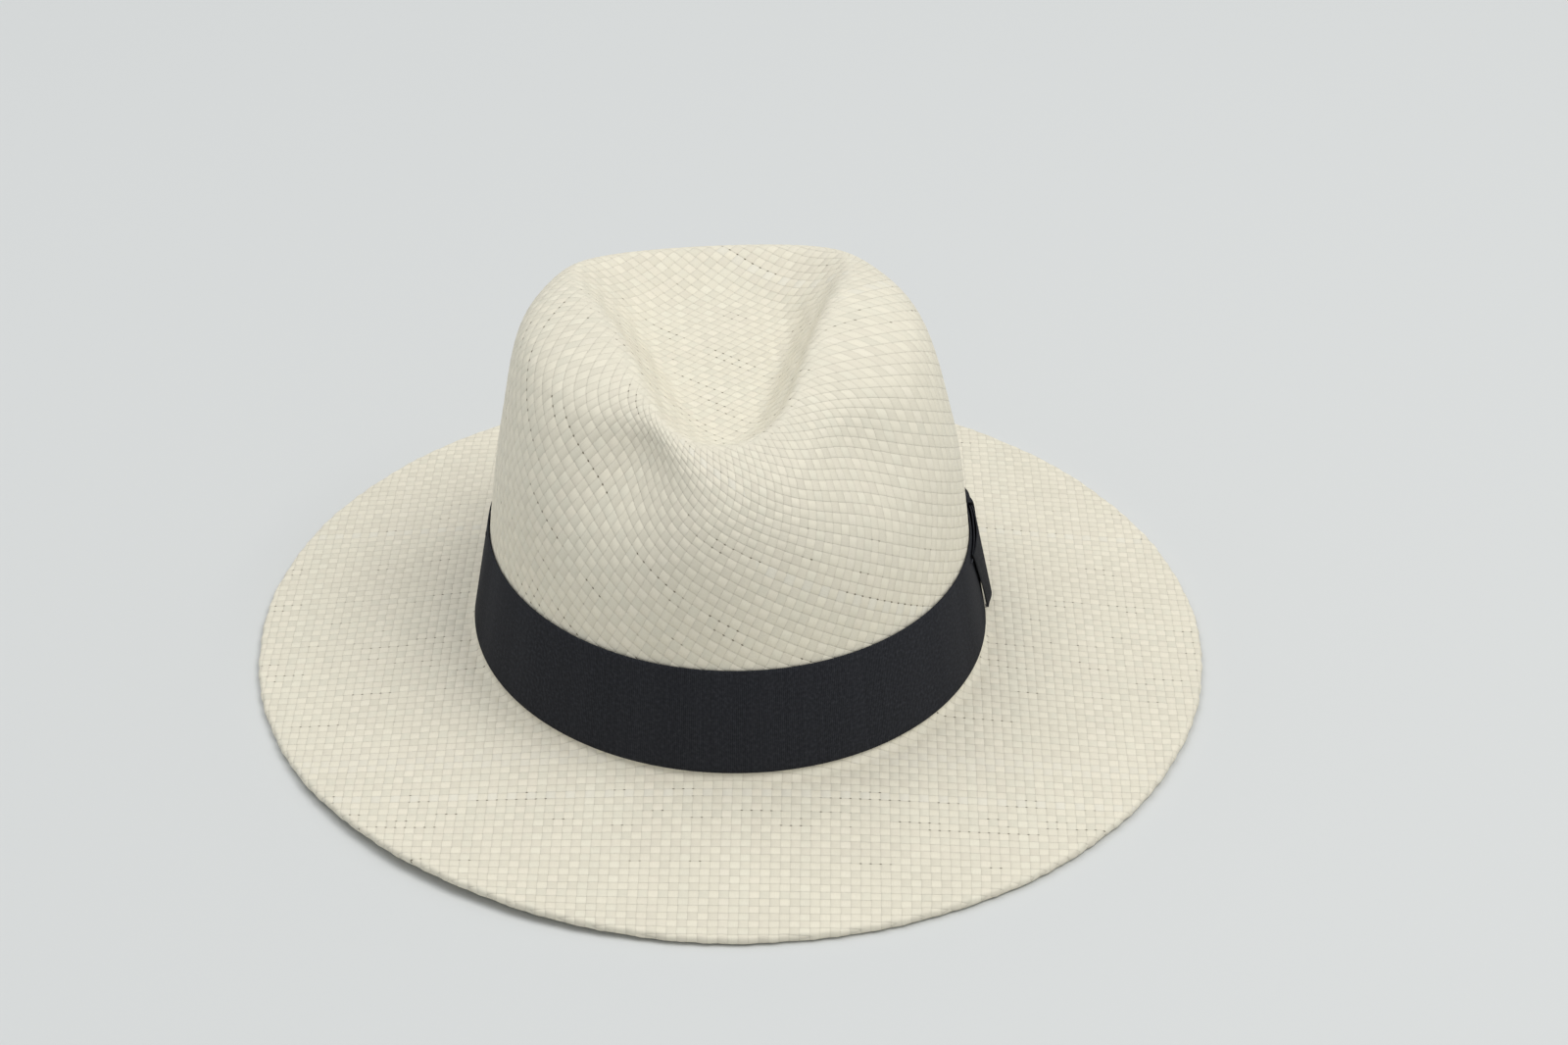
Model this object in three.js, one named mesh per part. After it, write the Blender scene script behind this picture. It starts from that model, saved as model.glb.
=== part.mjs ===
import * as THREE from 'three';

// A teardrop-crowned panama hat of woven paper straw, standing on its brim.
// Millimetres, +Z up. The front of the hat faces -Y and the wearer's left is +X.
// Angles around the hat are measured from the front, turning towards the wearer's left.

// Driving dimensions
const COLUMNS = 60;              // facets around every ring of the hat
const STRAW = 0.9;               // thickness of the woven straw
const RIBBON = 0.6;              // thickness of the grosgrain ribbon
const CLEARANCE = 0.3;           // gap left between pieces that lie against each other
const HEAD_HALF_WIDTH = 90;      // outside of the ribbon at its lower edge, across the hat
const HEAD_HALF_LENGTH = 103.5;  // outside of the ribbon at its lower edge, front to back
const WALL_LEAN = 0.17;          // how far the wall leans in for each millimetre of height
const BAND_BOTTOM = 12.5;
const BAND_HEIGHT = 36;
const BAND_TOP = BAND_BOTTOM + BAND_HEIGHT;
const BRIM_WIDTH = 76.5;
const BRIM_CURVE = 1.3;          // how much of the brim's fall is near the crown
const BEND_RADIUS = 3.5;
const BEND_CENTRE_HEIGHT = 13;
const COLLAR_TOP = 25;
const HEM_DEPTH = 9;
const SEAM_ABOVE_COLLAR = 0.8;   // the crown seam is just above the collar's edge
const WIRE_DIAMETER = 0.7;
const THREAD_DIAMETER = 0.5;
const EDGE_LIFT = 2.6;           // the brim's edge lifts a little at the front right of the wearer
const LIFT_CENTRE = -0.75;
const LIFT_REACH = 0.7;
const SWEATBAND_BOTTOM = 11;
const SWEATBAND_TOP = 44;
const SWEATBAND = 0.9;

const BAND_INNER = -RIBBON;
const COLLAR_OUTER = BAND_INNER - CLEARANCE;
const COLLAR_INNER = COLLAR_OUTER - STRAW;
const CROWN_OUTER = COLLAR_INNER - CLEARANCE;
const SWEATBAND_OUTER = CROWN_OUTER - STRAW - CLEARANCE;
const SWEATBAND_INNER = SWEATBAND_OUTER - SWEATBAND;

const straw = { color: 0xe8e3d2, roughness: 0.72, metalness: 0 };
const navyRibbon = { color: 0x1e2129, roughness: 0.78, metalness: 0 };
const sweatCloth = { color: 0xe9e4d6, roughness: 0.85, metalness: 0 };
const creamThread = { color: 0xe6dfcb, roughness: 0.8, metalness: 0 };
const navyThread = { color: 0x181b22, roughness: 0.7, metalness: 0 };
const springWire = { color: 0xa5a6a8, roughness: 0.35, metalness: 1 };
const labelCloth = { color: 0xf3f1ea, roughness: 0.8, metalness: 0 };

const hat = new THREE.Group();

function addPiece(name, geometry, finish) {
  const mesh = new THREE.Mesh(geometry, new THREE.MeshStandardMaterial(finish));
  mesh.name = name;
  hat.add(mesh);
}

// Points on the hat's oval

function onOval(angle, halfWidth, halfLength, height) {
  return new THREE.Vector3(Math.sin(angle) * halfWidth, -Math.cos(angle) * halfLength, height);
}

// A point beside the leaning wall: offset is measured out from the ribbon's outer face.
function onWall(angle, offset, height) {
  const reach = offset - WALL_LEAN * (height - BAND_BOTTOM);
  return onOval(angle, HEAD_HALF_WIDTH + reach, HEAD_HALF_LENGTH + reach, height);
}

// A point on the brim: outward is measured from the ribbon's lower edge.
function onBrim(angle, outward, height) {
  const across = THREE.MathUtils.clamp(outward / BRIM_WIDTH, 0, 1);
  const lift = edgeLift(angle) * across * across;
  return onOval(angle, HEAD_HALF_WIDTH + outward, HEAD_HALF_LENGTH + outward, height + lift);
}

function edgeLift(angle) {
  const turn = Math.atan2(Math.sin(angle - LIFT_CENTRE), Math.cos(angle - LIFT_CENTRE)) / LIFT_REACH;
  return Math.abs(turn) < 1 ? EDGE_LIFT * Math.cos(turn * Math.PI / 2) ** 2 : 0;
}

// A lathe turned from the section, then laid round the hat by place(angle, corner).
function laidRound(section, place) {
  const geometry = new THREE.LatheGeometry(section, COLUMNS);
  const position = geometry.getAttribute('position');
  for (let column = 0; column <= COLUMNS; column += 1) {
    const angle = ((column % COLUMNS) / COLUMNS) * Math.PI * 2;
    section.forEach((corner, row) => {
      const point = place(angle, corner);
      position.setXYZ(column * section.length + row, point.x, point.y, point.z);
    });
  }
  return geometry;
}

function closed(corners) {
  const section = corners.map(([x, y]) => new THREE.Vector2(x, y));
  section.push(section[0].clone());
  return section;
}

function circleCorners(diameter, sides) {
  const corners = [];
  for (let side = 0; side < sides; side += 1) {
    const turn = (side / sides) * Math.PI * 2;
    corners.push([Math.cos(turn) * diameter / 2, Math.sin(turn) * diameter / 2]);
  }
  return corners;
}

// Moves every corner of a geometry to a new place.
function reshaped(geometry, place) {
  const position = geometry.getAttribute('position');
  const corner = new THREE.Vector3();
  for (let index = 0; index < position.count; index += 1) {
    corner.fromBufferAttribute(position, index);
    const point = place(corner);
    position.setXYZ(index, point.x, point.y, point.z);
  }
  return geometry;
}

// Crown: one woven shell, blocked over a teardrop form with two front pinches.
// Each ring of the form has its half width, how much its front narrows, how square its ends are,
// its reach to the front and back, its height at the front, sides and back, and how far its
// front is skewed towards the wearer's right.

function wallRing(offset, height) {
  const reach = offset - WALL_LEAN * (height - BAND_BOTTOM);
  return {
    width: HEAD_HALF_WIDTH + reach, narrowing: 0, square: 0,
    front: HEAD_HALF_LENGTH + reach, back: HEAD_HALF_LENGTH + reach,
    heights: [height, height, height], skew: 0,
  };
}

const CROWN_RINGS = [
  wallRing(CROWN_OUTER, 13.5),
  wallRing(CROWN_OUTER, 28),
  wallRing(BAND_INNER - CLEARANCE, BAND_TOP),
  { width: 77.5, narrowing: 0, square: 0, front: 89.5, back: 95.5, heights: [84, 86, 84], skew: 0 },
  { width: 67, narrowing: 0.17, square: 0, front: 78, back: 91.5, heights: [103, 115, 104], skew: 2 },
  { width: 41, narrowing: 0.52, square: 0.53, front: 61, back: 86, heights: [111, 123, 112], skew: 7 },
  { width: 30, narrowing: 0.54, square: 0.46, front: 52, back: 74, heights: [107, 114, 108], skew: 6 },
  { width: 21, narrowing: 0.56, square: 0.3, front: 41, back: 60, heights: [103.5, 104.5, 104], skew: 4 },
  { width: 12, narrowing: 0.5, square: 0.2, front: 22, back: 38, heights: [103, 103, 103.5], skew: 2 },
];
const ROWS_PER_RING = [2, 2, 2, 2, 2, 2, 2, 1];
const DENT_CENTRE = new THREE.Vector3(0, 8, 103);
const PINCHES = [
  { angle: -0.69, depth: 13 },
  { angle: 0.72, depth: 10 },
];
const PINCH_SPREAD = 0.3;
const PINCH_RING = 3.7;          // the ring at which the pinches are deepest
const PINCH_RING_SPREAD = 0.85;

function formPoint(ring, angle) {
  const forward = Math.cos(angle);
  const middle = (ring.back - ring.front) / 2;
  const reach = (ring.back + ring.front) / 2;
  const flare = 1 - ring.narrowing * forward + ring.square * forward * forward;
  const [front, side, back] = ring.heights;
  const end = forward > 0 ? front : back;
  const height = side + (end - side) * forward * forward;
  const skew = ring.skew * ((1 + forward) / 2) ** 2;
  const across = ring.width * Math.sin(angle) * flare - skew;
  return new THREE.Vector3(across, middle - reach * forward, height);
}

// How far the two front pinches press the crown in at this angle and ring.
function pinchDepth(angle, along) {
  const rise = Math.exp(-(((along - PINCH_RING) / PINCH_RING_SPREAD) ** 2));
  const turn = Math.atan2(Math.sin(angle), Math.cos(angle));
  return PINCHES.reduce(
    (sum, pinch) => sum + pinch.depth * rise * Math.exp(-(((turn - pinch.angle) / PINCH_SPREAD) ** 2)), 0);
}

function crownSurface(angle, along) {
  const last = CROWN_RINGS.length - 1;
  if (along > last) {
    return DENT_CENTRE.clone();
  }
  const start = Math.min(Math.floor(along), last - 1);
  const t = along - start;
  const at = (index) => formPoint(CROWN_RINGS[THREE.MathUtils.clamp(index, 0, last)], angle);
  const [before, from, to, after] = [at(start - 1), at(start), at(start + 1), at(start + 2)];
  const blend = (a, b, c, d) => 0.5 * (2 * b + (c - a) * t + (2 * a - 5 * b + 4 * c - d) * t * t
    + (3 * b - a - 3 * c + d) * t * t * t);
  const point = new THREE.Vector3(
    blend(before.x, from.x, to.x, after.x),
    blend(before.y, from.y, to.y, after.y),
    blend(before.z, from.z, to.z, after.z));
  const inward = new THREE.Vector3(-point.x, -point.y, 0).normalize();
  return point.addScaledVector(inward, pinchDepth(angle, along));
}

function crownPoint(angle, corner) {
  const step = 0.01;
  const last = CROWN_RINGS.length - 1;
  const point = crownSurface(angle, corner.x);
  if (corner.y === 0) {
    return point;
  }
  if (corner.x > last) {
    return point.add(new THREE.Vector3(0, 0, -corner.y));
  }
  const around = crownSurface(angle + step, corner.x).sub(crownSurface(angle - step, corner.x));
  const low = Math.max(corner.x - step, 0);
  const high = Math.min(corner.x + step, last);
  const up = crownSurface(angle, high).sub(crownSurface(angle, low));
  const outward = around.cross(up).normalize();
  return point.addScaledVector(outward, -corner.y);
}

function crownSection() {
  const rows = [0];
  ROWS_PER_RING.forEach((count, ring) => {
    for (let step = 1; step <= count; step += 1) {
      rows.push(ring + step / count);
    }
  });
  const outer = rows.map((along) => new THREE.Vector2(along, 0));
  const inner = rows.map((along) => new THREE.Vector2(along, STRAW));
  const centre = rows[rows.length - 1] + 1;
  return [
    new THREE.Vector2(centre, STRAW), ...inner.reverse(), ...outer, new THREE.Vector2(centre, 0),
  ];
}

addPiece('crown', laidRound(crownSection(), crownPoint), straw);

// Brim: a second woven piece, bent up into a collar outside the crown and turned under at its edge.

const HEM_CHANNEL = 1.2;         // room for the wire between the two layers of the hem
const EDGE_HEIGHT = 2 * STRAW + HEM_CHANNEL;
const EDGE_RADIUS = EDGE_HEIGHT / 2;
const FLAT_OF_BEND = COLLAR_OUTER + BEND_RADIUS;
const BEND_FOOT = BEND_CENTRE_HEIGHT - BEND_RADIUS;
const BEND_TURN = THREE.MathUtils.degToRad(84);
const BEND_STEPS = [0, 0.25, 0.5, 1];
const TOP_SPOTS = [16, 32, 50, 66];
const EDGE_TURNS = [60, 0, -60].map(THREE.MathUtils.degToRad);

function brimTop(outward) {
  const across = (outward - FLAT_OF_BEND) / (BRIM_WIDTH - FLAT_OF_BEND);
  return EDGE_HEIGHT + (BEND_FOOT - EDGE_HEIGHT) * (1 - across) ** BRIM_CURVE;
}

function bendCorners(radius) {
  return BEND_STEPS.map((step) => {
    const turn = Math.PI + step * BEND_TURN;
    return [FLAT_OF_BEND + Math.cos(turn) * radius, BEND_CENTRE_HEIGHT + Math.sin(turn) * radius];
  });
}

function edgeCorners(radius) {
  const centre = BRIM_WIDTH - EDGE_RADIUS;
  return EDGE_TURNS.map((turn) => [
    centre + Math.cos(turn) * radius, EDGE_RADIUS + Math.sin(turn) * radius,
  ]);
}

function brimSection() {
  const centre = BRIM_WIDTH - EDGE_RADIUS;
  const hemStart = BRIM_WIDTH - HEM_DEPTH;
  const collarLean = WALL_LEAN * (COLLAR_TOP - BEND_CENTRE_HEIGHT);
  const top = TOP_SPOTS.map((outward) => [outward, brimTop(outward)]);
  const under = TOP_SPOTS.map((outward) => [outward, brimTop(outward) - STRAW]);
  return closed([
    [COLLAR_OUTER - collarLean, COLLAR_TOP], ...bendCorners(BEND_RADIUS), ...top,
    [centre, EDGE_HEIGHT], ...edgeCorners(EDGE_RADIUS), [centre, 0], [hemStart, 0],
    [hemStart, STRAW], [centre, STRAW], ...edgeCorners(EDGE_RADIUS - STRAW).reverse(),
    [centre, EDGE_HEIGHT - STRAW], ...under.reverse(),
    ...bendCorners(BEND_RADIUS + STRAW).reverse(), [COLLAR_INNER - collarLean, COLLAR_TOP],
  ]);
}

function brimPoint(angle, corner) {
  return onBrim(angle, corner.x, corner.y);
}

addPiece('brim', laidRound(brimSection().reverse(), brimPoint), straw);

// The wire that keeps the brim's edge round, in the fold of the hem.

const WIRE_CENTRE = BRIM_WIDTH - EDGE_RADIUS;

function wirePoint(angle, corner) {
  return onBrim(angle, WIRE_CENTRE + corner.x, EDGE_RADIUS + corner.y);
}

addPiece('brim_wire', laidRound(closed(circleCorners(WIRE_DIAMETER, 5)), wirePoint), springWire);

// Sewing threads that run all the way round

function threadRing(offset, height) {
  const section = closed(circleCorners(THREAD_DIAMETER, 4));
  return laidRound(section, (angle, corner) => onWall(angle, offset + corner.x, height + corner.y));
}

const SEAM_OFFSET = (BAND_INNER + CROWN_OUTER) / 2;
const SWEATBAND_SEAM_HEIGHT = 14.5;
const INSIDE_FACE = SWEATBAND_INNER - CLEARANCE;
addPiece('crown_seam_thread', threadRing(SEAM_OFFSET, COLLAR_TOP + SEAM_ABOVE_COLLAR), creamThread);
addPiece('sweatband_seam_thread',
  threadRing(INSIDE_FACE - THREAD_DIAMETER / 2, SWEATBAND_SEAM_HEIGHT), creamThread);

// Ribbon and sweatband: two bands laid round the wall

function wallBand(outer, inner, bottom, top) {
  const section = closed([[inner, bottom], [outer, bottom], [outer, top], [inner, top]]);
  return laidRound(section, (angle, corner) => onWall(angle, corner.x, corner.y));
}

addPiece('hatband', wallBand(0, BAND_INNER, BAND_BOTTOM, BAND_TOP), navyRibbon);
addPiece('sweatband',
  wallBand(SWEATBAND_OUTER, SWEATBAND_INNER, SWEATBAND_BOTTOM, SWEATBAND_TOP), sweatCloth);

// Flat bow on the wearer's left: one folded strip that makes both loops, and the knot round it.
// Its geometry is drawn flat, as distance along the ribbon, distance off it and height, then
// laid on the wall.

const BOW_CENTRE = THREE.MathUtils.degToRad(98);
const BOW_HALF_LENGTH = 35.7;
const BOW_HEIGHT = 33;
const BOW_BOTTOM = BAND_BOTTOM + 1.2;
const BOW_FLARE = 0.56;          // the loops are longer along their upper edges
const BOW_RIBBON = 0.5;
const BOW_BACK = 1.1;            // leaves room for the knot behind the loops
const BOW_END_GAP = 0.4;         // the loops' ends lie nearer to the hatband
const BOW_BACK_REACH = 16;
const LOOP_PINCHED = 1.3;        // thickness of the two layers under the knot
const LOOP_PUFF_LOW = 1.9;       // how far the loops open along their lower edges
const LOOP_PUFF_HIGH = 0.4;      // and along their upper edges
const KNOT_HALF_LENGTH = 6.5;
const LOOP_START = 1;            // the loops start to open this far beyond the knot
const KNOT_WAIST = 0.12;         // how much the knot gathers the loops' height
const KNOT_WAIST_REACH = 11;
const BOW_ARC_RADIUS = 101;
const ROUNDING = 0.3;            // how square the folds of the ribbon are

function bowPoint(along, offset, height) {
  const share = (height - BOW_BOTTOM) / BOW_HEIGHT - 0.5;
  const flared = along * (1 + BOW_FLARE * share);
  return onWall(BOW_CENTRE + flared / BOW_ARC_RADIUS, offset, height);
}

function loopBack(along) {
  return BOW_END_GAP + (BOW_BACK - BOW_END_GAP) * Math.exp(-((along / BOW_BACK_REACH) ** 4));
}

function loopThickness(along, level) {
  const start = KNOT_HALF_LENGTH + LOOP_START;
  const share = Math.max(Math.abs(along) - start, 0) / (BOW_HALF_LENGTH - start);
  const puff = THREE.MathUtils.lerp(LOOP_PUFF_LOW, LOOP_PUFF_HIGH, level / BOW_HEIGHT);
  return LOOP_PINCHED + puff * Math.sin(share * Math.PI) ** 2;
}

// A point on a rounded rectangle, at this turn round it and with these half sizes.
function roundedTurn(turn, halfLength, halfThickness) {
  const squared = (value) => Math.sign(value) * Math.abs(value) ** ROUNDING;
  return [halfLength * squared(Math.cos(turn)), halfThickness * squared(Math.sin(turn))];
}

function bowLoops() {
  const section = closed([[0, 0], [BOW_RIBBON, 0], [BOW_RIBBON, BOW_HEIGHT], [0, BOW_HEIGHT]]);
  return laidRound(section, (turn, corner) => {
    const along = (BOW_HALF_LENGTH - corner.x) * Math.cos(turn);
    const halfThickness = loopThickness(along, corner.y) / 2;
    const [, across] = roundedTurn(turn, BOW_HALF_LENGTH, halfThickness - corner.x);
    const gathered = 1 - KNOT_WAIST * Math.exp(-((along / KNOT_WAIST_REACH) ** 2));
    const height = BOW_BOTTOM + BOW_HEIGHT / 2 + (corner.y - BOW_HEIGHT / 2) * gathered;
    return bowPoint(along, loopBack(along) + halfThickness + across, height);
  });
}

function bowKnot() {
  const section = closed([
    [0, -KNOT_HALF_LENGTH], [0, 0], [0, KNOT_HALF_LENGTH],
    [BOW_RIBBON, KNOT_HALF_LENGTH], [BOW_RIBBON, 0], [BOW_RIBBON, -KNOT_HALF_LENGTH],
  ]);
  const halfHeight = BOW_HEIGHT / 2 * (1 - KNOT_WAIST / 2) + CLEARANCE + BOW_RIBBON;
  const halfThickness = LOOP_PINCHED / 2 + CLEARANCE + BOW_RIBBON;
  return laidRound(section, (turn, corner) => {
    const [up, across] = roundedTurn(turn, halfHeight - corner.x, halfThickness - corner.x);
    return bowPoint(corner.y, BOW_BACK + LOOP_PINCHED / 2 + across, BOW_BOTTOM + BOW_HEIGHT / 2 + up);
  });
}

addPiece('bow_loops', bowLoops(), navyRibbon);
addPiece('bow_knot', bowKnot(), navyRibbon);

// Tacks: short bars of thread that hold the bow's corners and the ribbon's upper edge.

const TACK_LENGTH = 2.4;
const TACK_THICKNESS = 0.45;

function tackBar(lengthAlong, lengthUp, place) {
  const bar = new THREE.BoxGeometry(lengthAlong, TACK_THICKNESS, lengthUp);
  return reshaped(bar, (corner) => place(corner.x, CLEARANCE + TACK_THICKNESS / 2 + corner.y, corner.z));
}

const BOW_TACK_MARGIN = 2;
const bowTackAlong = BOW_HALF_LENGTH + CLEARANCE + TACK_LENGTH / 2;
const bowTackHigh = BOW_BOTTOM + BOW_HEIGHT - BOW_TACK_MARGIN;
const bowTackLow = BOW_BOTTOM + BOW_TACK_MARGIN;
const bowTackPlaces = [
  ['bow_tack_front_upper', -bowTackAlong, bowTackHigh],
  ['bow_tack_front_lower', -bowTackAlong, bowTackLow],
  ['bow_tack_rear_upper', bowTackAlong, bowTackHigh],
  ['bow_tack_rear_lower', bowTackAlong, bowTackLow],
];
bowTackPlaces.forEach(([name, along, height]) => {
  addPiece(name, tackBar(TACK_LENGTH, TACK_THICKNESS,
    (x, offset, z) => bowPoint(along - x, offset, height + z)), navyThread);
});

const hatbandTackPlaces = [['hatband_tack_rear', 180], ['hatband_tack_right', -90]];
hatbandTackPlaces.forEach(([name, degrees]) => {
  addPiece(name, tackBar(TACK_THICKNESS, TACK_LENGTH, (x, offset, z) => onWall(
    THREE.MathUtils.degToRad(degrees) - x / BOW_ARC_RADIUS, offset, BAND_TOP + z)), navyThread);
});

// The sweatband's ends meet near the back and are joined by an upright row of thread.

const JOIN_ANGLE = THREE.MathUtils.degToRad(160);
const JOIN_HEIGHT = 25;
const JOIN_WIDTH = 1.6;
const JOIN_MARGIN = 2;
const INSIDE_FACET = 4;          // an inside bar is bent in pieces no longer than this

function insideBar(width, thickness, height, angle, middle, facing) {
  const facets = Math.ceil(width / INSIDE_FACET);
  const bar = new THREE.BoxGeometry(width, thickness, height, facets, 1, 1);
  return reshaped(bar, (corner) => onWall(
    angle + corner.x / HEAD_HALF_WIDTH, facing - thickness / 2 - corner.y, middle + corner.z));
}

addPiece('sweatband_join_thread', insideBar(
  JOIN_WIDTH, THREAD_DIAMETER, JOIN_HEIGHT, JOIN_ANGLE,
  SWEATBAND_TOP - JOIN_HEIGHT / 2 - JOIN_MARGIN, INSIDE_FACE), creamThread);

// Size label at the back: a folded strip of tape, its sewn edge fixed and its flap hanging free.

const LABEL_WIDTH = 22;
const LABEL_THICKNESS = 0.4;
const LABEL_SEWN_HEIGHT = 5;
const LABEL_TOP = SWEATBAND_TOP - 1;
const LABEL_STITCH_WIDTH = 18;
const LABEL_FOLD_HEIGHT = LABEL_TOP - LABEL_SEWN_HEIGHT;
const FLAP_DROP = 16;
const FLAP_PIVOT_Y = 93.4;

addPiece('size_label_sewn_edge', insideBar(
  LABEL_WIDTH, LABEL_THICKNESS, LABEL_SEWN_HEIGHT, Math.PI, LABEL_TOP - LABEL_SEWN_HEIGHT / 2,
  INSIDE_FACE), labelCloth);
addPiece('size_label_stitch', insideBar(
  LABEL_STITCH_WIDTH, TACK_THICKNESS, TACK_THICKNESS, Math.PI, LABEL_TOP - LABEL_SEWN_HEIGHT / 2,
  INSIDE_FACE - LABEL_THICKNESS - CLEARANCE), creamThread);

const flap = new THREE.BoxGeometry(LABEL_WIDTH, LABEL_THICKNESS, FLAP_DROP);
flap.translate(0, FLAP_PIVOT_Y, LABEL_FOLD_HEIGHT - CLEARANCE - FLAP_DROP / 2);
addPiece('size_label_flap', flap, labelCloth);

export default hat;
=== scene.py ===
"""A teardrop panama hat of woven paper straw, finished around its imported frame.

The hat stands on its brim. All sizes are metres; the front of the hat faces -Y, the wearer's
left is +X, and angles round the hat are measured from the front towards the wearer's left.
"""

import logging
import math
from dataclasses import dataclass
from enum import Enum
from typing import Callable, Sequence

import bpy
import numpy as np
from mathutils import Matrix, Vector
from mathutils.kdtree import KDTree


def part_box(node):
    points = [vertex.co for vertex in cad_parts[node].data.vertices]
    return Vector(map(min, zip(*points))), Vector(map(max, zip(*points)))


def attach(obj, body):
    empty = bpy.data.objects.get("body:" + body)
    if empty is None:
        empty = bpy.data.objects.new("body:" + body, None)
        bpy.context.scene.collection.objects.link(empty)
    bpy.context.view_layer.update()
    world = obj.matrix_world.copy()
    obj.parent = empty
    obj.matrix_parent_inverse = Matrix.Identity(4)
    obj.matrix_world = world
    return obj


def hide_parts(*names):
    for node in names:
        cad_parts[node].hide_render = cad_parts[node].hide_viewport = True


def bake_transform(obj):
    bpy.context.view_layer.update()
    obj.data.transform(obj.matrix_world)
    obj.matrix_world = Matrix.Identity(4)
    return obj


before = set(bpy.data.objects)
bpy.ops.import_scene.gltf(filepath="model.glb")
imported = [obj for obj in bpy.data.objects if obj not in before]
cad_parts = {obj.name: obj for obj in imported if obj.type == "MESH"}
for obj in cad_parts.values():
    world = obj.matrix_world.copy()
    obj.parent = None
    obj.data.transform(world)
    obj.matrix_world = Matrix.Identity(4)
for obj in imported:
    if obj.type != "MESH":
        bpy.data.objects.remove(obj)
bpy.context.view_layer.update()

MM = 0.001
TURN = 2 * math.pi
LOG = logging.getLogger("panama_hat")


class Body(Enum):
    """The rigid bodies of the frame."""

    HAT = "hat"
    LABEL_FLAP = "label_flap"


class Slot(Enum):
    """The material slots of the record."""

    STRAW = "straw"
    RIBBON = "ribbon"
    NAVY_THREAD = "navy_thread"
    CREAM_THREAD = "cream_thread"
    WIRE = "wire"
    SWEAT_CLOTH = "sweat_cloth"
    LABEL_TAPE = "label_tape"


# ---------------------------------------------------------------------------------------------
# Shader building
# ---------------------------------------------------------------------------------------------


class NodeBench:
    """Adds and links shader nodes in one node tree."""

    def __init__(self, tree: bpy.types.NodeTree) -> None:
        """Keeps the tree that the nodes go into.

        Args:
            tree: the node tree of a material or a node group.
        """
        self.tree = tree

    def node(self, kind: str, **settings: object) -> bpy.types.Node:
        """Adds a node and sets its properties.

        Args:
            kind: the node's type name.
            **settings: properties of the node.

        Returns:
            The new node.
        """
        made = self.tree.nodes.new(kind)
        for name, value in settings.items():
            setattr(made, name, value)
        return made

    def feed(self, socket: bpy.types.NodeSocket, value: object) -> None:
        """Links an output to a socket, or sets the socket's own value.

        Args:
            socket: the input to feed.
            value: an output socket or a plain value.
        """
        if isinstance(value, bpy.types.NodeSocket):
            self.tree.links.new(value, socket)
        else:
            socket.default_value = value

    def math(self, operation: str, *values: object) -> bpy.types.NodeSocket:
        """Adds a math node.

        Args:
            operation: the node's operation.
            *values: its inputs, in order.

        Returns:
            The output socket.
        """
        made = self.node("ShaderNodeMath", operation=operation)
        for socket, value in zip(made.inputs, values):
            self.feed(socket, value)
        return made.outputs[0]

    def mix(self, amount: object, first: object, second: object) -> bpy.types.NodeSocket:
        """Mixes two numbers.

        Args:
            amount: share of the second number.
            first: the first number.
            second: the second number.

        Returns:
            The output socket.
        """
        made = self.node("ShaderNodeMix", data_type="FLOAT")
        for socket, value in zip(made.inputs[:1] + made.inputs[2:4], (amount, first, second)):
            self.feed(socket, value)
        return made.outputs[0]

    def mix_colour(self, amount: object, first: object, second: object,
                   blend: str = "MIX") -> bpy.types.NodeSocket:
        """Mixes two colours.

        Args:
            amount: share of the second colour.
            first: the first colour.
            second: the second colour.
            blend: the way of mixing.

        Returns:
            The output socket.
        """
        made = self.node("ShaderNodeMix", data_type="RGBA", blend_type=blend)
        for index, value in ((0, amount), (6, first), (7, second)):
            self.feed(made.inputs[index], value)
        return made.outputs[2]

    def noise(self, vector: object, scale: float, detail: float = 2.0) -> bpy.types.NodeSocket:
        """Adds a noise texture.

        Args:
            vector: where it is read.
            scale: the noise's scale.
            detail: how many finer layers it has.

        Returns:
            The socket of its value.
        """
        made = self.node("ShaderNodeTexNoise")
        self.feed(made.inputs["Vector"], vector)
        made.inputs["Scale"].default_value = scale
        made.inputs["Detail"].default_value = detail
        return made.outputs[0]

    def vector(self, x: object, y: object, z: object = 0.0) -> bpy.types.NodeSocket:
        """Joins three numbers into a vector.

        Args:
            x: first number.
            y: second number.
            z: third number.

        Returns:
            The output socket.
        """
        made = self.node("ShaderNodeCombineXYZ")
        for socket, value in zip(made.inputs, (x, y, z)):
            self.feed(socket, value)
        return made.outputs[0]

    def chance(self, x: object, y: object = 0.0) -> bpy.types.NodeSocket:
        """Gives a fixed random number for each pair of whole numbers.

        Args:
            x: first whole number.
            y: second whole number.

        Returns:
            The socket of its value.
        """
        made = self.node("ShaderNodeTexWhiteNoise", noise_dimensions="2D")
        self.feed(made.inputs["Vector"], self.vector(x, y))
        return made.outputs["Value"]


def new_group(name: str, inputs: dict[str, str], outputs: dict[str, str]) -> tuple:
    """Starts a shader node group with named sockets.

    Args:
        name: the group's name.
        inputs: socket names and their types' short names.
        outputs: socket names and their types' short names.

    Returns:
        The group's tree, a bench for it, its input sockets and its output node.
    """
    tree = bpy.data.node_groups.new(name, "ShaderNodeTree")
    for names, direction in ((inputs, "INPUT"), (outputs, "OUTPUT")):
        for socket, kind in names.items():
            tree.interface.new_socket(socket, in_out=direction, socket_type=f"NodeSocket{kind}")
    bench = NodeBench(tree)
    source = bench.node("NodeGroupInput")
    sink = bench.node("NodeGroupOutput")
    return tree, bench, source.outputs, sink.inputs


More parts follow.
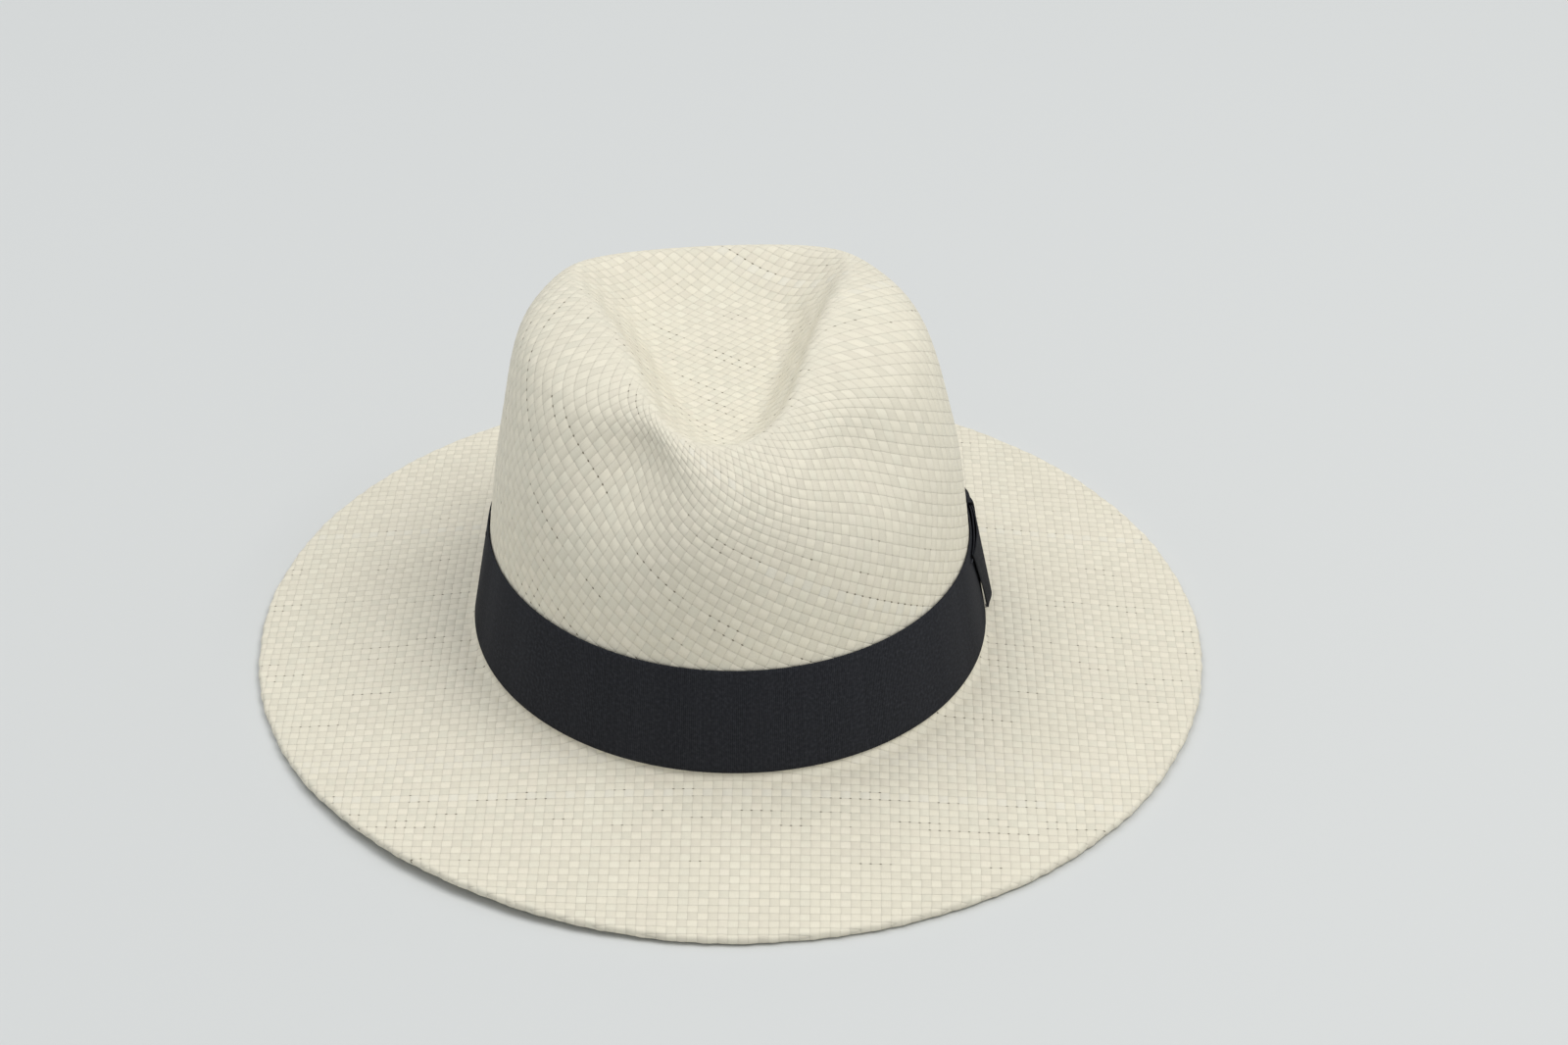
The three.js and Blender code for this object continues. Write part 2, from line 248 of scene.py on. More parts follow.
class WeavePattern:
    """Node group for plain weave: one strand over one and under one, both ways."""

    REPEAT = 78.0        # strands after which the tints repeat, so that a closed wall has no seam
    ARCH = 0.5           # height of a strand's arch, as a share of the whole relief
    ARCH_POWER = 0.55    # how flat the arch is
    EDGE_DROP = 0.16     # how far a strand's edges fall, in the same measure
    EDGE_POWER = 7.0
    ROW_LIFT = 0.14      # rows lie a little above columns, so that their bricks look longer
    # Painted shade: ROW_SHADE paints the rows a little darker than the columns, and GROOVE_SHADE paints
    # the low grooves darker.
    ROW_SHADE = 0.95     # the two ways of the straw catch the light differently
    GROOVE_DEPTH = 0.3   # relief below which a groove looks darker
    GROOVE_SHADE = 0.12
    OPEN_ROWS = (0.62, 0.7)   # chance above which a row of corners stands open
    OPEN_RUN = (0.52, 0.6)    # noise above which the open corners of such a row show
    FIBRES = 14.0             # fine lines along the straw, across one strand

    def __init__(self) -> None:
        """Builds the group once."""
        self.tree, bench, source, sink = new_group(
            "plain_weave", {"Strands": "Vector"},
            {"Height": "Float", "Tint": "Float", "Brick": "Float", "Hole": "Float",
             "Fibre": "Float", "Lit": "Float"})
        split = bench.node("ShaderNodeSeparateXYZ")
        bench.feed(split.inputs[0], source["Strands"])
        across, along = split.outputs[0], split.outputs[1]
        column = bench.math("FLOOR", across)
        row = bench.math("FLOOR", along)
        x = bench.math("FRACT", across)
        y = bench.math("FRACT", along)
        parity = bench.math("FLOORED_MODULO", bench.math("ADD", column, row), 2.0)
        side = bench.math("MULTIPLY_ADD", parity, -2.0, 1.0)
        column_arch = self._arch(bench, y, side)
        row_arch = bench.math("MULTIPLY_ADD", self._arch(bench, x, side), -1.0, self.ROW_LIFT)
        column_edge = self._edge(bench, x)
        row_edge = self._edge(bench, y)
        column_top = bench.math("MULTIPLY_ADD", column_edge, -self.EDGE_DROP, column_arch)
        row_top = bench.math("MULTIPLY_ADD", row_edge, -self.EDGE_DROP, row_arch)
        height = bench.math("MAXIMUM", column_top, row_top)
        on_top = bench.math("GREATER_THAN", column_top, row_top)
        column_key = bench.math("FLOORED_MODULO", column, self.REPEAT)
        row_key = bench.math("FLOORED_MODULO", row, self.REPEAT)
        tint = bench.mix(on_top, bench.chance(row_key, 7.0), bench.chance(column_key, 31.0))
        brick = bench.chance(column_key, bench.math("ADD", row_key, 200.0))
        hole_x = bench.math("ABSOLUTE", bench.math("SUBTRACT", x, 0.5))
        hole_y = bench.math("ABSOLUTE", bench.math("SUBTRACT", y, 0.5))
        corner = bench.math("MULTIPLY", self._ramp(bench, hole_x, 0.34, 0.46),
                            self._ramp(bench, hole_y, 0.42, 0.485))
        corner_column = bench.math("ROUND", across)
        corner_row = bench.math("ROUND", along)
        open_corner = bench.chance(
            11.0, bench.math("FLOORED_MODULO", corner_row, self.REPEAT))
        run = bench.noise(bench.vector(bench.math("MULTIPLY", corner_column, 0.17),
                                       bench.math("MULTIPLY", corner_row, 5.3)), 1.0)
        open_row = bench.math("MULTIPLY", self._ramp(bench, open_corner, *self.OPEN_ROWS),
                              self._ramp(bench, run, *self.OPEN_RUN))
        hole = bench.math("MULTIPLY", corner, open_row)
        fine_across = bench.math("MULTIPLY", across, self.FIBRES)
        fine_columns = bench.noise(bench.vector(fine_across, along), 1.0)
        fine_along = bench.math("MULTIPLY", along, self.FIBRES)
        fine_rows = bench.noise(bench.vector(across, fine_along), 1.0)
        # Painted shade: Lit darkens the rows a little and the grooves between strands more.
        groove = self._ramp(bench, height, 0.0, self.GROOVE_DEPTH)
        lit = bench.math("MULTIPLY", bench.mix(on_top, self.ROW_SHADE, 1.0),
                         bench.math("MULTIPLY_ADD", groove, self.GROOVE_SHADE,
                                    1.0 - self.GROOVE_SHADE))
        results = {"Height": height, "Tint": tint, "Brick": brick, "Hole": hole,
                   "Fibre": bench.mix(on_top, fine_rows, fine_columns), "Lit": lit}
        for name, value in results.items():
            bench.feed(sink[name], value)

    @classmethod
    def _arch(cls, bench: NodeBench, share: object, side: object) -> bpy.types.NodeSocket:
        """Rise of a strand as it passes over, or under, its neighbour.

        Args:
            bench: the bench of the group being built.
            share: place along the strand within one crossing.
            side: 1 where it passes over and -1 where it passes under.

        Returns:
            The rise.
        """
        turn = bench.math("MULTIPLY", bench.math("SUBTRACT", share, 0.5), math.pi)
        flat = bench.math("POWER", bench.math("MAXIMUM", bench.math("COSINE", turn), 0.0),
                          cls.ARCH_POWER)
        return bench.math("MULTIPLY", bench.math("MULTIPLY", flat, side), cls.ARCH)

    @classmethod
    def _edge(cls, bench: NodeBench, share: object) -> bpy.types.NodeSocket:
        """Nearness to a strand's edge, rising steeply at the edge.

        Args:
            bench: the bench of the group being built.
            share: place across the strand, from 0 to 1.

        Returns:
            The nearness.
        """
        centred = bench.math("ABSOLUTE", bench.math("MULTIPLY_ADD", share, 2.0, -1.0))
        return bench.math("POWER", centred, cls.EDGE_POWER)

    @staticmethod
    def _ramp(bench: NodeBench, value: object, low: float, high: float) -> bpy.types.NodeSocket:
        """A smooth step from 0 to 1.

        Args:
            bench: the bench of the group being built.
            value: the number to step.
            low: where the step starts.
            high: where it ends.

        Returns:
            The stepped number.
        """
        made = bench.node("ShaderNodeMapRange", interpolation_type="SMOOTHSTEP")
        for socket, number in zip(made.inputs, (value, low, high, 0.0, 1.0)):
            bench.feed(socket, number)
        return made.outputs[0]


class RibPattern:
    """Node group for grosgrain: close ribs across the ribbon, crossed by fine warp threads."""

    WARP_PITCH = 0.45 * MM
    LINT_SCALE = 900.0

    def __init__(self) -> None:
        """Builds the group once."""
        self.tree, bench, source, sink = new_group(
            "grosgrain_ribs", {"Ribbon": "Vector", "Pitch": "Float"},
            {"Height": "Float", "Lint": "Float", "Thread": "Float"})
        split = bench.node("ShaderNodeSeparateXYZ")
        bench.feed(split.inputs[0], source["Ribbon"])
        along, up = split.outputs[0], split.outputs[1]
        ribs = bench.math("DIVIDE", along, source["Pitch"])
        wave = bench.math("ABSOLUTE", bench.math("SINE", bench.math("MULTIPLY", ribs, math.pi)))
        rib = bench.math("FLOOR", ribs)
        warp = bench.math("MULTIPLY_ADD", bench.math("FLOORED_MODULO", rib, 2.0), 0.5,
                          bench.math("DIVIDE", up, self.WARP_PITCH))
        warp_wave = bench.math("ABSOLUTE", bench.math("SINE", bench.math("MULTIPLY", warp, math.pi)))
        height = bench.math("MULTIPLY_ADD", warp_wave, 0.25, wave)
        results = {"Height": height, "Lint": bench.noise(source["Ribbon"], self.LINT_SCALE, 6.0),
                   "Thread": bench.chance(rib, 3.0)}
        for name, value in results.items():
            bench.feed(sink[name], value)


@dataclass(frozen=True)
class StrawFinish:
    """Cream paper straw whose strands are tinted very slightly green or pink."""

    cream: tuple = (0.855, 0.805, 0.660, 1.0)
    green: tuple = (0.849, 0.807, 0.664, 1.0)
    pink: tuple = (0.857, 0.802, 0.660, 1.0)
    bright: tuple = (0.885, 0.845, 0.715, 1.0)
    # Painted shade: the dark colour of the open corners, standing for the shaded inside seen through
    # them.
    gap: tuple = (0.20, 0.155, 0.09, 1.0)
    roughness: float = 0.52
    relief: float = 0.65 * MM

    def make(self, name: str, weave: WeavePattern, charts: Sequence[str],
             mask: str | None = None) -> bpy.types.Material:
        """Builds the material.

        Args:
            name: the material's name.
            weave: the shared weave group.
            charts: UV maps in strands; a second chart takes over where the mask is 1.
            mask: the float attribute that blends the charts.

        Returns:
            The material.
        """
        material, bench, shader = new_material(name)
        layers = [self._layer(bench, weave, chart) for chart in charts]
        if mask:
            share = bench.node("ShaderNodeAttribute", attribute_name=mask).outputs["Fac"]
            colour = bench.mix_colour(share, layers[0][0], layers[1][0])
            height = bench.mix(share, layers[0][1], layers[1][1])
            rough = bench.mix(share, layers[0][2], layers[1][2])
        else:
            colour, height, rough = layers[0]
        place = bench.node("ShaderNodeTexCoord").outputs["Object"]
        cloud = bench.noise(place, 22.0)
        worn = bench.math("MULTIPLY_ADD", cloud, 0.08, 0.95)
        bench.feed(shader.inputs["Base Color"],
                   bench.mix_colour(1.0, colour, bench.vector(worn, worn, worn), "MULTIPLY"))
        bench.feed(shader.inputs["Roughness"], rough)
        bump = bench.node("ShaderNodeBump")
        bump.inputs["Strength"].default_value = 0.9
        bump.inputs["Distance"].default_value = self.relief
        bench.feed(bump.inputs["Height"], height)
        bench.feed(shader.inputs["Normal"], bump.outputs[0])
        shader.inputs["Specular IOR Level"].default_value = 0.35
        return material

    def _layer(self, bench: NodeBench, weave: WeavePattern, chart: str) -> tuple:
        """Builds one chart of the weave.

        Args:
            bench: the material's bench.
            weave: the shared weave group.
            chart: a UV map in strands.

        Returns:
            Its colour, height and roughness.
        """
        uv = bench.node("ShaderNodeUVMap", uv_map=chart).outputs[0]
        pattern = bench.node("ShaderNodeGroup", node_tree=weave.tree)
        bench.feed(pattern.inputs["Strands"], uv)
        ramp = bench.node("ShaderNodeValToRGB")
        bench.feed(ramp.inputs[0], pattern.outputs["Tint"])
        stops = ((0.0, self.cream), (0.5, self.cream), (0.56, self.green), (0.72, self.green),
                 (0.78, self.pink), (0.92, self.pink), (1.0, self.bright))
        elements = ramp.color_ramp.elements
        while len(elements) < len(stops):
            elements.new(0.5)
        for element, (position, colour) in zip(elements, stops):
            element.position = position
            element.color = colour
        # Random tone per brick and along the fibres, multiplied below by the weave's painted shade from
        # Lit.
        lit = bench.math("MULTIPLY_ADD", pattern.outputs["Brick"], 0.06, 0.95)
        lit = bench.math("MULTIPLY_ADD", pattern.outputs["Fibre"], 0.10,
                         bench.math("SUBTRACT", lit, 0.05))
        lit = bench.math("MULTIPLY", lit, pattern.outputs["Lit"])
        shaded = bench.mix_colour(1.0, ramp.outputs[0], bench.vector(lit, lit, lit), "MULTIPLY")
        # The open corners get the dark gap colour, a painted shade seen through the weave.
        colour = bench.mix_colour(pattern.outputs["Hole"], shaded, self.gap)
        fibre_relief = bench.math("MULTIPLY_ADD", pattern.outputs["Fibre"], 0.12,
                                  pattern.outputs["Height"])
        height = bench.math("MULTIPLY_ADD", pattern.outputs["Hole"], -0.5, fibre_relief)
        rough = bench.math("MULTIPLY_ADD", pattern.outputs["Fibre"], 0.18, self.roughness - 0.06)
        return colour, height, rough


@dataclass(frozen=True)
class RibbonFinish:
    """Navy-black grosgrain with a soft sheen."""

    colour: tuple = (0.0052, 0.0058, 0.0080, 1.0)
    # Lighter colour for the dust specks and for the painted highlight on the rib crests.
    lint_and_sheen: tuple = (0.040, 0.042, 0.050, 1.0)
    pitch: float = 0.72 * MM
    relief: float = 0.12 * MM
    roughness: float = 0.70

    def make(self, name: str, ribs: RibPattern) -> bpy.types.Material:
        """Builds the material.

        Args:
            name: the material's name.
            ribs: the shared rib group.

        Returns:
            The material.
        """
        material, bench, shader = new_material(name)
        uv = bench.node("ShaderNodeUVMap", uv_map="ribbon").outputs[0]
        pattern = bench.node("ShaderNodeGroup", node_tree=ribs.tree)
        bench.feed(pattern.inputs["Ribbon"], uv)
        pattern.inputs["Pitch"].default_value = self.pitch
        dust = bench.math("MULTIPLY", bench.math("POWER", pattern.outputs["Lint"], 3.0), 1.7)
        # Painted highlight: the rib crests are painted lighter by their height, mixed with real dust
        # specks and a random tone per rib.
        rib_sheen_and_lint = bench.math("MULTIPLY_ADD", pattern.outputs["Height"], 0.35, dust)
        rib_sheen_and_lint = bench.math("MULTIPLY_ADD", pattern.outputs["Thread"], 0.10, rib_sheen_and_lint)
        bench.feed(shader.inputs["Base Color"], bench.mix_colour(rib_sheen_and_lint, self.colour, self.lint_and_sheen))
        bench.feed(shader.inputs["Roughness"],
                   bench.math("MULTIPLY_ADD", pattern.outputs["Lint"], 0.2, self.roughness))
        shader.inputs["Specular IOR Level"].default_value = 0.12
        bump = bench.node("ShaderNodeBump")
        bump.inputs["Strength"].default_value = 0.8
        bump.inputs["Distance"].default_value = self.relief
        bench.feed(bump.inputs["Height"], pattern.outputs["Height"])
        bench.feed(shader.inputs["Normal"], bump.outputs[0])
        return material


@dataclass(frozen=True)
class TwillFinish:
    """Woven cloth with a diagonal line, for the sweatband and the label tape."""

    colour: tuple = (0.78, 0.74, 0.65, 1.0)
    shade: tuple = (0.62, 0.58, 0.50, 1.0)
    pitch: float = 0.8 * MM
    slant: float = 1.0
    relief: float = 0.12 * MM
    roughness: float = 0.8

    def make(self, name: str) -> bpy.types.Material:
        """Builds the material on the piece's own ribbon chart.

        Args:
            name: the material's name.

        Returns:
            The material.
        """
        material, bench, shader = new_material(name)
        uv = bench.node("ShaderNodeUVMap", uv_map="ribbon").outputs[0]
        split = bench.node("ShaderNodeSeparateXYZ")
        bench.feed(split.inputs[0], uv)
        slanted = bench.math("MULTIPLY_ADD", split.outputs[1], self.slant, split.outputs[0])
        line = bench.math("SINE", bench.math("MULTIPLY", slanted, TURN / self.pitch))
        cross = bench.math("SINE", bench.math("MULTIPLY", split.outputs[0], TURN / (self.pitch * 0.45)))
        weave = bench.math("MULTIPLY_ADD", cross, 0.25, line)
        fluff = bench.noise(bench.node("ShaderNodeTexCoord").outputs["Object"], 260.0, 5.0)
        # Painted shade: the twill's lines and crossings are painted towards the darker shade colour,
        # mixed with a random fluffy tone.
        shade = bench.math("MULTIPLY_ADD", weave, 0.22, bench.math("MULTIPLY", fluff, 0.6))
        bench.feed(shader.inputs["Base Color"], bench.mix_colour(shade, self.colour, self.shade))
        bench.feed(shader.inputs["Roughness"],
                   bench.math("MULTIPLY_ADD", fluff, 0.15, self.roughness - 0.07))
        bump = bench.node("ShaderNodeBump")
        bump.inputs["Strength"].default_value = 0.6
        bump.inputs["Distance"].default_value = self.relief
        bench.feed(bump.inputs["Height"], weave)
        bench.feed(shader.inputs["Normal"], bump.outputs[0])
        shader.inputs["Sheen Weight"].default_value = 0.15
        return material


@dataclass(frozen=True)
class ThreadFinish:
    """Twisted sewing thread."""

    colour: tuple
    dark: tuple
    twist: float = 5200.0
    roughness: float = 0.7

    def make(self, name: str) -> bpy.types.Material:
        """Builds the material with a fine slanting twist.

        Args:
            name: the material's name.

        Returns:
            The material.
        """
        material, bench, shader = new_material(name)
        split = bench.node("ShaderNodeSeparateXYZ")
        bench.feed(split.inputs[0], bench.node("ShaderNodeTexCoord").outputs["Object"])
        diagonal = bench.math("ADD", bench.math("ADD", split.outputs[0], split.outputs[1]),
                              split.outputs[2])
        ply = bench.math("SINE", bench.math("MULTIPLY", diagonal, self.twist))
        # Painted shade: the twist is painted darker towards the dark colour between the plies.
        share = bench.math("MULTIPLY_ADD", ply, 0.5, 0.5)
        bench.feed(shader.inputs["Base Color"], bench.mix_colour(share, self.dark, self.colour))
        bench.feed(shader.inputs["Roughness"],
                   bench.math("MULTIPLY_ADD", share, 0.1, self.roughness - 0.05))
        bump = bench.node("ShaderNodeBump")
        bump.inputs["Strength"].default_value = 0.4
        bump.inputs["Distance"].default_value = 0.05 * MM
        bench.feed(bump.inputs["Height"], ply)
        bench.feed(shader.inputs["Normal"], bump.outputs[0])
        return material


@dataclass(frozen=True)
class WireFinish:
    """Drawn spring wire."""

    colour: tuple = (0.52, 0.52, 0.53, 1.0)
    worn: tuple = (0.38, 0.37, 0.36, 1.0)

    def make(self, name: str) -> bpy.types.Material:
        """Builds the material with fine uneven marks.

        Args:
            name: the material's name.

        Returns:
            The material.
        """
        material, bench, shader = new_material(name)
        marks = bench.noise(bench.node("ShaderNodeTexCoord").outputs["Object"], 900.0, 4.0)
        bench.feed(shader.inputs["Base Color"], bench.mix_colour(marks, self.colour, self.worn))
        bench.feed(shader.inputs["Roughness"], bench.math("MULTIPLY_ADD", marks, 0.2, 0.28))
        shader.inputs["Metallic"].default_value = 1.0
        return material


def new_material(name: str) -> tuple:
    """Starts a material.

    Args:
        name: the material's name.

    Returns:
        The material, a bench for its nodes and its Principled shader.
    """
    material = bpy.data.materials.new(name)
    material.use_nodes = True
    bench = NodeBench(material.node_tree)
    shader = next(n for n in material.node_tree.nodes if n.type == "BSDF_PRINCIPLED")
    return material, bench, shader


@dataclass(frozen=True)
class Finishes:
    """Every material of the hat."""

    crown: bpy.types.Material
    brim: bpy.types.Material
    ribbon: bpy.types.Material
    sweat_cloth: bpy.types.Material
    label_tape: bpy.types.Material
    cream_thread: bpy.types.Material
    navy_thread: bpy.types.Material
    wire: bpy.types.Material

    @classmethod
    def build(cls) -> "Finishes":
        """Makes the shared groups and the materials.

        Returns:
            All the finishes.
        """
        weave = WeavePattern()
        straw = StrawFinish()
        return cls(
            crown=straw.make("crown_straw", weave, ("wall_chart", "top_chart"), "dent"),
            brim=straw.make("brim_straw", weave, ("brim_chart",)),
            ribbon=RibbonFinish().make("grosgrain", RibPattern()),
            sweat_cloth=TwillFinish().make("sweatband_twill"),
            label_tape=TwillFinish(colour=(0.86, 0.85, 0.80, 1.0), shade=(0.74, 0.72, 0.66, 1.0),
                                   pitch=0.5 * MM, slant=0.2).make("label_tape"),
            cream_thread=ThreadFinish(
                (0.80, 0.74, 0.60, 1.0), (0.58, 0.51, 0.38, 1.0)).make("cream_thread"),
            navy_thread=ThreadFinish(
                (0.035, 0.038, 0.05, 1.0), (0.008, 0.009, 0.013, 1.0)).make("navy_thread"),
            wire=WireFinish().make("brim_wire_steel"),
        )


# ---------------------------------------------------------------------------------------------
# Making surfaces
# ---------------------------------------------------------------------------------------------

Placer = Callable[[np.ndarray, np.ndarray], np.ndarray]


def deselect() -> None:
    """Leaves nothing selected."""
    for obj in bpy.context.selected_objects:
        obj.select_set(False)


def active_only(obj: bpy.types.Object) -> None:
    """Selects one object and makes it active.

    Args:
        obj: the object to select.
    """
    deselect()
    obj.select_set(True)
    bpy.context.view_layer.objects.active = obj


def edit(obj: bpy.types.Object, *steps: Callable[[], object]) -> None:
    """Runs edit-mode operators on all of an object's mesh.

    Args:
        obj: the object to edit.
        *steps: calls of mesh operators, run in order with everything selected.
    """
    active_only(obj)
    bpy.ops.object.mode_set(mode="EDIT")
    bpy.ops.mesh.select_all(action="SELECT")
    for step in steps:
        step()
    bpy.ops.object.mode_set(mode="OBJECT")


def shaped_grid(name: str, columns: int, rows: int, place: Placer,
                charts: dict[str, Placer], weld: float = 0.01 * MM) -> bpy.types.Object:
    """Adds a grid, moves its corners onto a surface and welds its closed edges.

    Args:
        name: the piece's name.
        columns: faces along u.
        rows: faces along v.
        place: turns u and v, each from 0 to 1, into points.
        charts: UV maps by name; each turns u and v into the map's two numbers.
        weld: corners nearer than this are joined.

    Returns:
        The object, at the origin, with its place in its mesh.
    """
    deselect()
    bpy.ops.mesh.primitive_grid_add(x_subdivisions=columns, y_subdivisions=rows, size=1)
    obj = bpy.context.active_object
    obj.name = name
    mesh = obj.data
    mesh.name = name
    flat = np.empty(len(mesh.vertices) * 3)
    mesh.vertices.foreach_get("co", flat)
    flat = flat.reshape(-1, 3)
    u = np.round((flat[:, 0] + 0.5) * columns) / columns
    v = np.round((flat[:, 1] + 0.5) * rows) / rows
    corner = np.empty(len(mesh.loops), int)
    mesh.loops.foreach_get("vertex_index", corner)
    while mesh.uv_layers:
        mesh.uv_layers.remove(mesh.uv_layers[0])
    for chart, numbers in charts.items():
        layer = mesh.uv_layers.new(name=chart)
        layer.data.foreach_set("uv", numbers(u, v)[corner].ravel())
    mesh.vertices.foreach_set("co", place(u, v).ravel())
    mesh.update()
    edit(obj, lambda: bpy.ops.mesh.remove_doubles(threshold=weld))
    return obj


def face_outward(obj: bpy.types.Object) -> None:
    """Makes the faces of a closed piece point outwards.

    Args:
        obj: the closed piece.
    """
    edit(obj, lambda: bpy.ops.mesh.normals_make_consistent(inside=False))


def smooth(obj: bpy.types.Object, degrees: float = 45.0) -> None:
    """Shades a piece smooth, keeping edges sharper than the angle.

    Args:
        obj: the piece.
        degrees: the sharpest angle that is still smoothed.
    """
    active_only(obj)
    bpy.ops.object.shade_smooth_by_angle(angle=math.radians(degrees))


def section_lengths(corners: np.ndarray) -> np.ndarray:
    """Measures along an outline.

    Args:
        corners: the outline's corners, in order.

    Returns:
        The distance along it to each corner.
    """
    steps = np.linalg.norm(np.diff(corners, axis=0), axis=1)
    return np.concatenate([[0.0], np.cumsum(steps)])


def finish_piece(obj: bpy.types.Object, material: bpy.types.Material, slot: Slot,
                 replaces: Sequence[str], body: Body | None = Body.HAT) -> bpy.types.Object:
    """Gives a piece its material and body, and hides the frame nodes it stands for.

    Args:
        obj: the finished piece.
        material: its material.
        slot: the record's slot; not used.
        replaces: names of frame nodes.
        body: the body it rides on, or None for a piece that spans a joint, which is left on no body.

    Returns:
        The piece.
    """
    obj.data.materials.clear()
    obj.data.materials.append(material)
    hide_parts(*replaces)
    if body is not None:
        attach(obj, body.value)
    LOG.info("%s: %d faces", obj.name, len(obj.data.polygons))
    return obj


# ---------------------------------------------------------------------------------------------
# The hat's form
# ---------------------------------------------------------------------------------------------


@dataclass(frozen=True)
class HatForm:
    """The oval wall and the brim that every piece is laid on, in metres."""

    half_width: float
    half_length: float
    band_bottom: float
    band_top: float
    brim_width: float
    ribbon: float = 0.6 * MM
    straw: float = 0.9 * MM
    gap: float = 0.3 * MM
    lean: float = 0.17
    edge_height: float = 3.0 * MM
    bend_radius: float = 3.5 * MM
    bend_height: float = 13.0 * MM
    edge_lift: float = 2.6 * MM
    lift_centre: float = -0.75
    lift_reach: float = 0.7
    brim_curve: float = 1.3

    @classmethod
    def from_frame(cls) -> "HatForm":
        """Takes the driving sizes from the frame's ribbon and brim.

        Returns:
            The form.
        """
        low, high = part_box("hatband")
        brim_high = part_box("brim")[1]
        return cls(half_width=high.x, half_length=high.y, band_bottom=low.z, band_top=high.z,
                   brim_width=brim_high.x - high.x)

    @property
    def band_inner(self) -> float:
        """Offset of the ribbon's inner face.

        Returns:
            The offset.
        """
        return -self.ribbon

    @property
    def collar_outer(self) -> float:
        """Offset of the brim collar's outer face.

        Returns:
            The offset.
        """
        return self.band_inner - self.gap

    @property
    def collar_inner(self) -> float:
        """Offset of the brim collar's inner face.

        Returns:
            The offset.
        """
        return self.collar_outer - self.straw

    @property
    def crown_outer(self) -> float:
        """Offset of the crown's outer face behind the collar.

        Returns:
            The offset.
        """
        return self.collar_inner - self.gap

    @property
    def sweatband_outer(self) -> float:
        """Offset of the sweatband's outer face.

        Returns:
            The offset.
        """
        return self.crown_outer - self.straw - self.gap

    def oval(self, angle: np.ndarray, reach: np.ndarray, height: np.ndarray) -> np.ndarray:
        """Points on the hat's oval, grown by reach.

        Args:
            angle: angles round the hat.
            reach: how far the oval is grown.
            height: heights above the ground.

        Returns:
            The points.
        """
        angle, reach, height = np.broadcast_arrays(angle, reach, height)
        return np.stack([np.sin(angle) * (self.half_width + reach),
                         -np.cos(angle) * (self.half_length + reach), height], -1)

    def wall(self, angle: np.ndarray, offset: np.ndarray, height: np.ndarray) -> np.ndarray:
        """Points beside the leaning wall.

        Args:
            angle: angle round the hat.
            offset: distance out from the ribbon's outer face.
            height: height above the ground.

        Returns:
            The points.
        """
        return self.oval(angle, offset - self.lean * (height - self.band_bottom), height)

    def brim(self, angle: np.ndarray, outward: np.ndarray, height: np.ndarray) -> np.ndarray:
        """Points on the brim.

        Args:
            angle: angles round the hat.
            outward: distances from the ribbon's lower edge.
            height: heights before the edge is lifted.

        Returns:
            The points.
        """
        across = np.clip(outward / self.brim_width, 0, 1)
        turn = np.arctan2(np.sin(angle - self.lift_centre), np.cos(angle - self.lift_centre))
        turn = np.clip(turn / self.lift_reach, -1, 1)
        lift = self.edge_lift * np.cos(turn * math.pi / 2) ** 2 * across ** 2
        return self.oval(angle, outward, height + lift)

    def brim_top(self, outward: np.ndarray) -> np.ndarray:
        """Finds the brim's upper face.

        Args:
            outward: distances from the ribbon's lower edge.

        Returns:
            Its heights.
        """
        flat = self.collar_outer + self.bend_radius
        across = np.clip((outward - flat) / (self.brim_width - flat), 0, 1)
        foot = self.bend_height - self.bend_radius
        return self.edge_height + (foot - self.edge_height) * (1 - across) ** self.brim_curve

    def girth(self, offset: float, height: float) -> float:
        """Measures once round the wall.

        Args:
            offset: distance out from the ribbon's outer face.
            height: height above the ground.

        Returns:
            The length.
        """
        angles = np.linspace(0, TURN, 721)
        return section_lengths(self.wall(angles, offset, height))[-1]


@dataclass(frozen=True)
class Ring:
    """One ring of the crown's block, in millimetres."""

    width: float
    narrowing: float
    square: float
    front: float
    back: float
    heights: tuple[float, float, float]
    skew: float = 0.0

    def points(self, angle: np.ndarray) -> np.ndarray:
        """Finds the ring's points.

        Args:
            angle: angles round the hat.

        Returns:
            The points, in metres.
        """
        forward = np.cos(angle)
        middle = (self.back - self.front) / 2
        reach = (self.back + self.front) / 2
        flare = 1 - self.narrowing * forward + self.square * forward ** 2
        front, side, back = self.heights
        end = np.where(forward > 0, front, back)
        height = side + (end - side) * forward ** 2
        across = self.width * np.sin(angle) * flare - self.skew * ((1 + forward) / 2) ** 2
        return np.stack([across, middle - reach * forward, height], -1) * MM


@dataclass(frozen=True)
class Pinches:
    """The two front pinches of the crown: the angle and depth of each, and how far they reach."""

    places: tuple = ((-0.69, 13.0 * MM), (0.72, 10.0 * MM))
    spread: float = 0.3
    ring: float = 3.7
    ring_spread: float = 0.85

    def depth_at(self, angle: np.ndarray, along: np.ndarray) -> np.ndarray:
        """Finds how far the crown is pressed in.

        Args:
            angle: angles round the hat.
            along: ring counts from the lower edge.

        Returns:
            The depths.
        """
        rise = np.exp(-((along - self.ring) / self.ring_spread) ** 2)
        turn = np.arctan2(np.sin(angle), np.cos(angle))
        return sum(depth * rise * np.exp(-((turn - centre) / self.spread) ** 2)
                   for centre, depth in self.places)


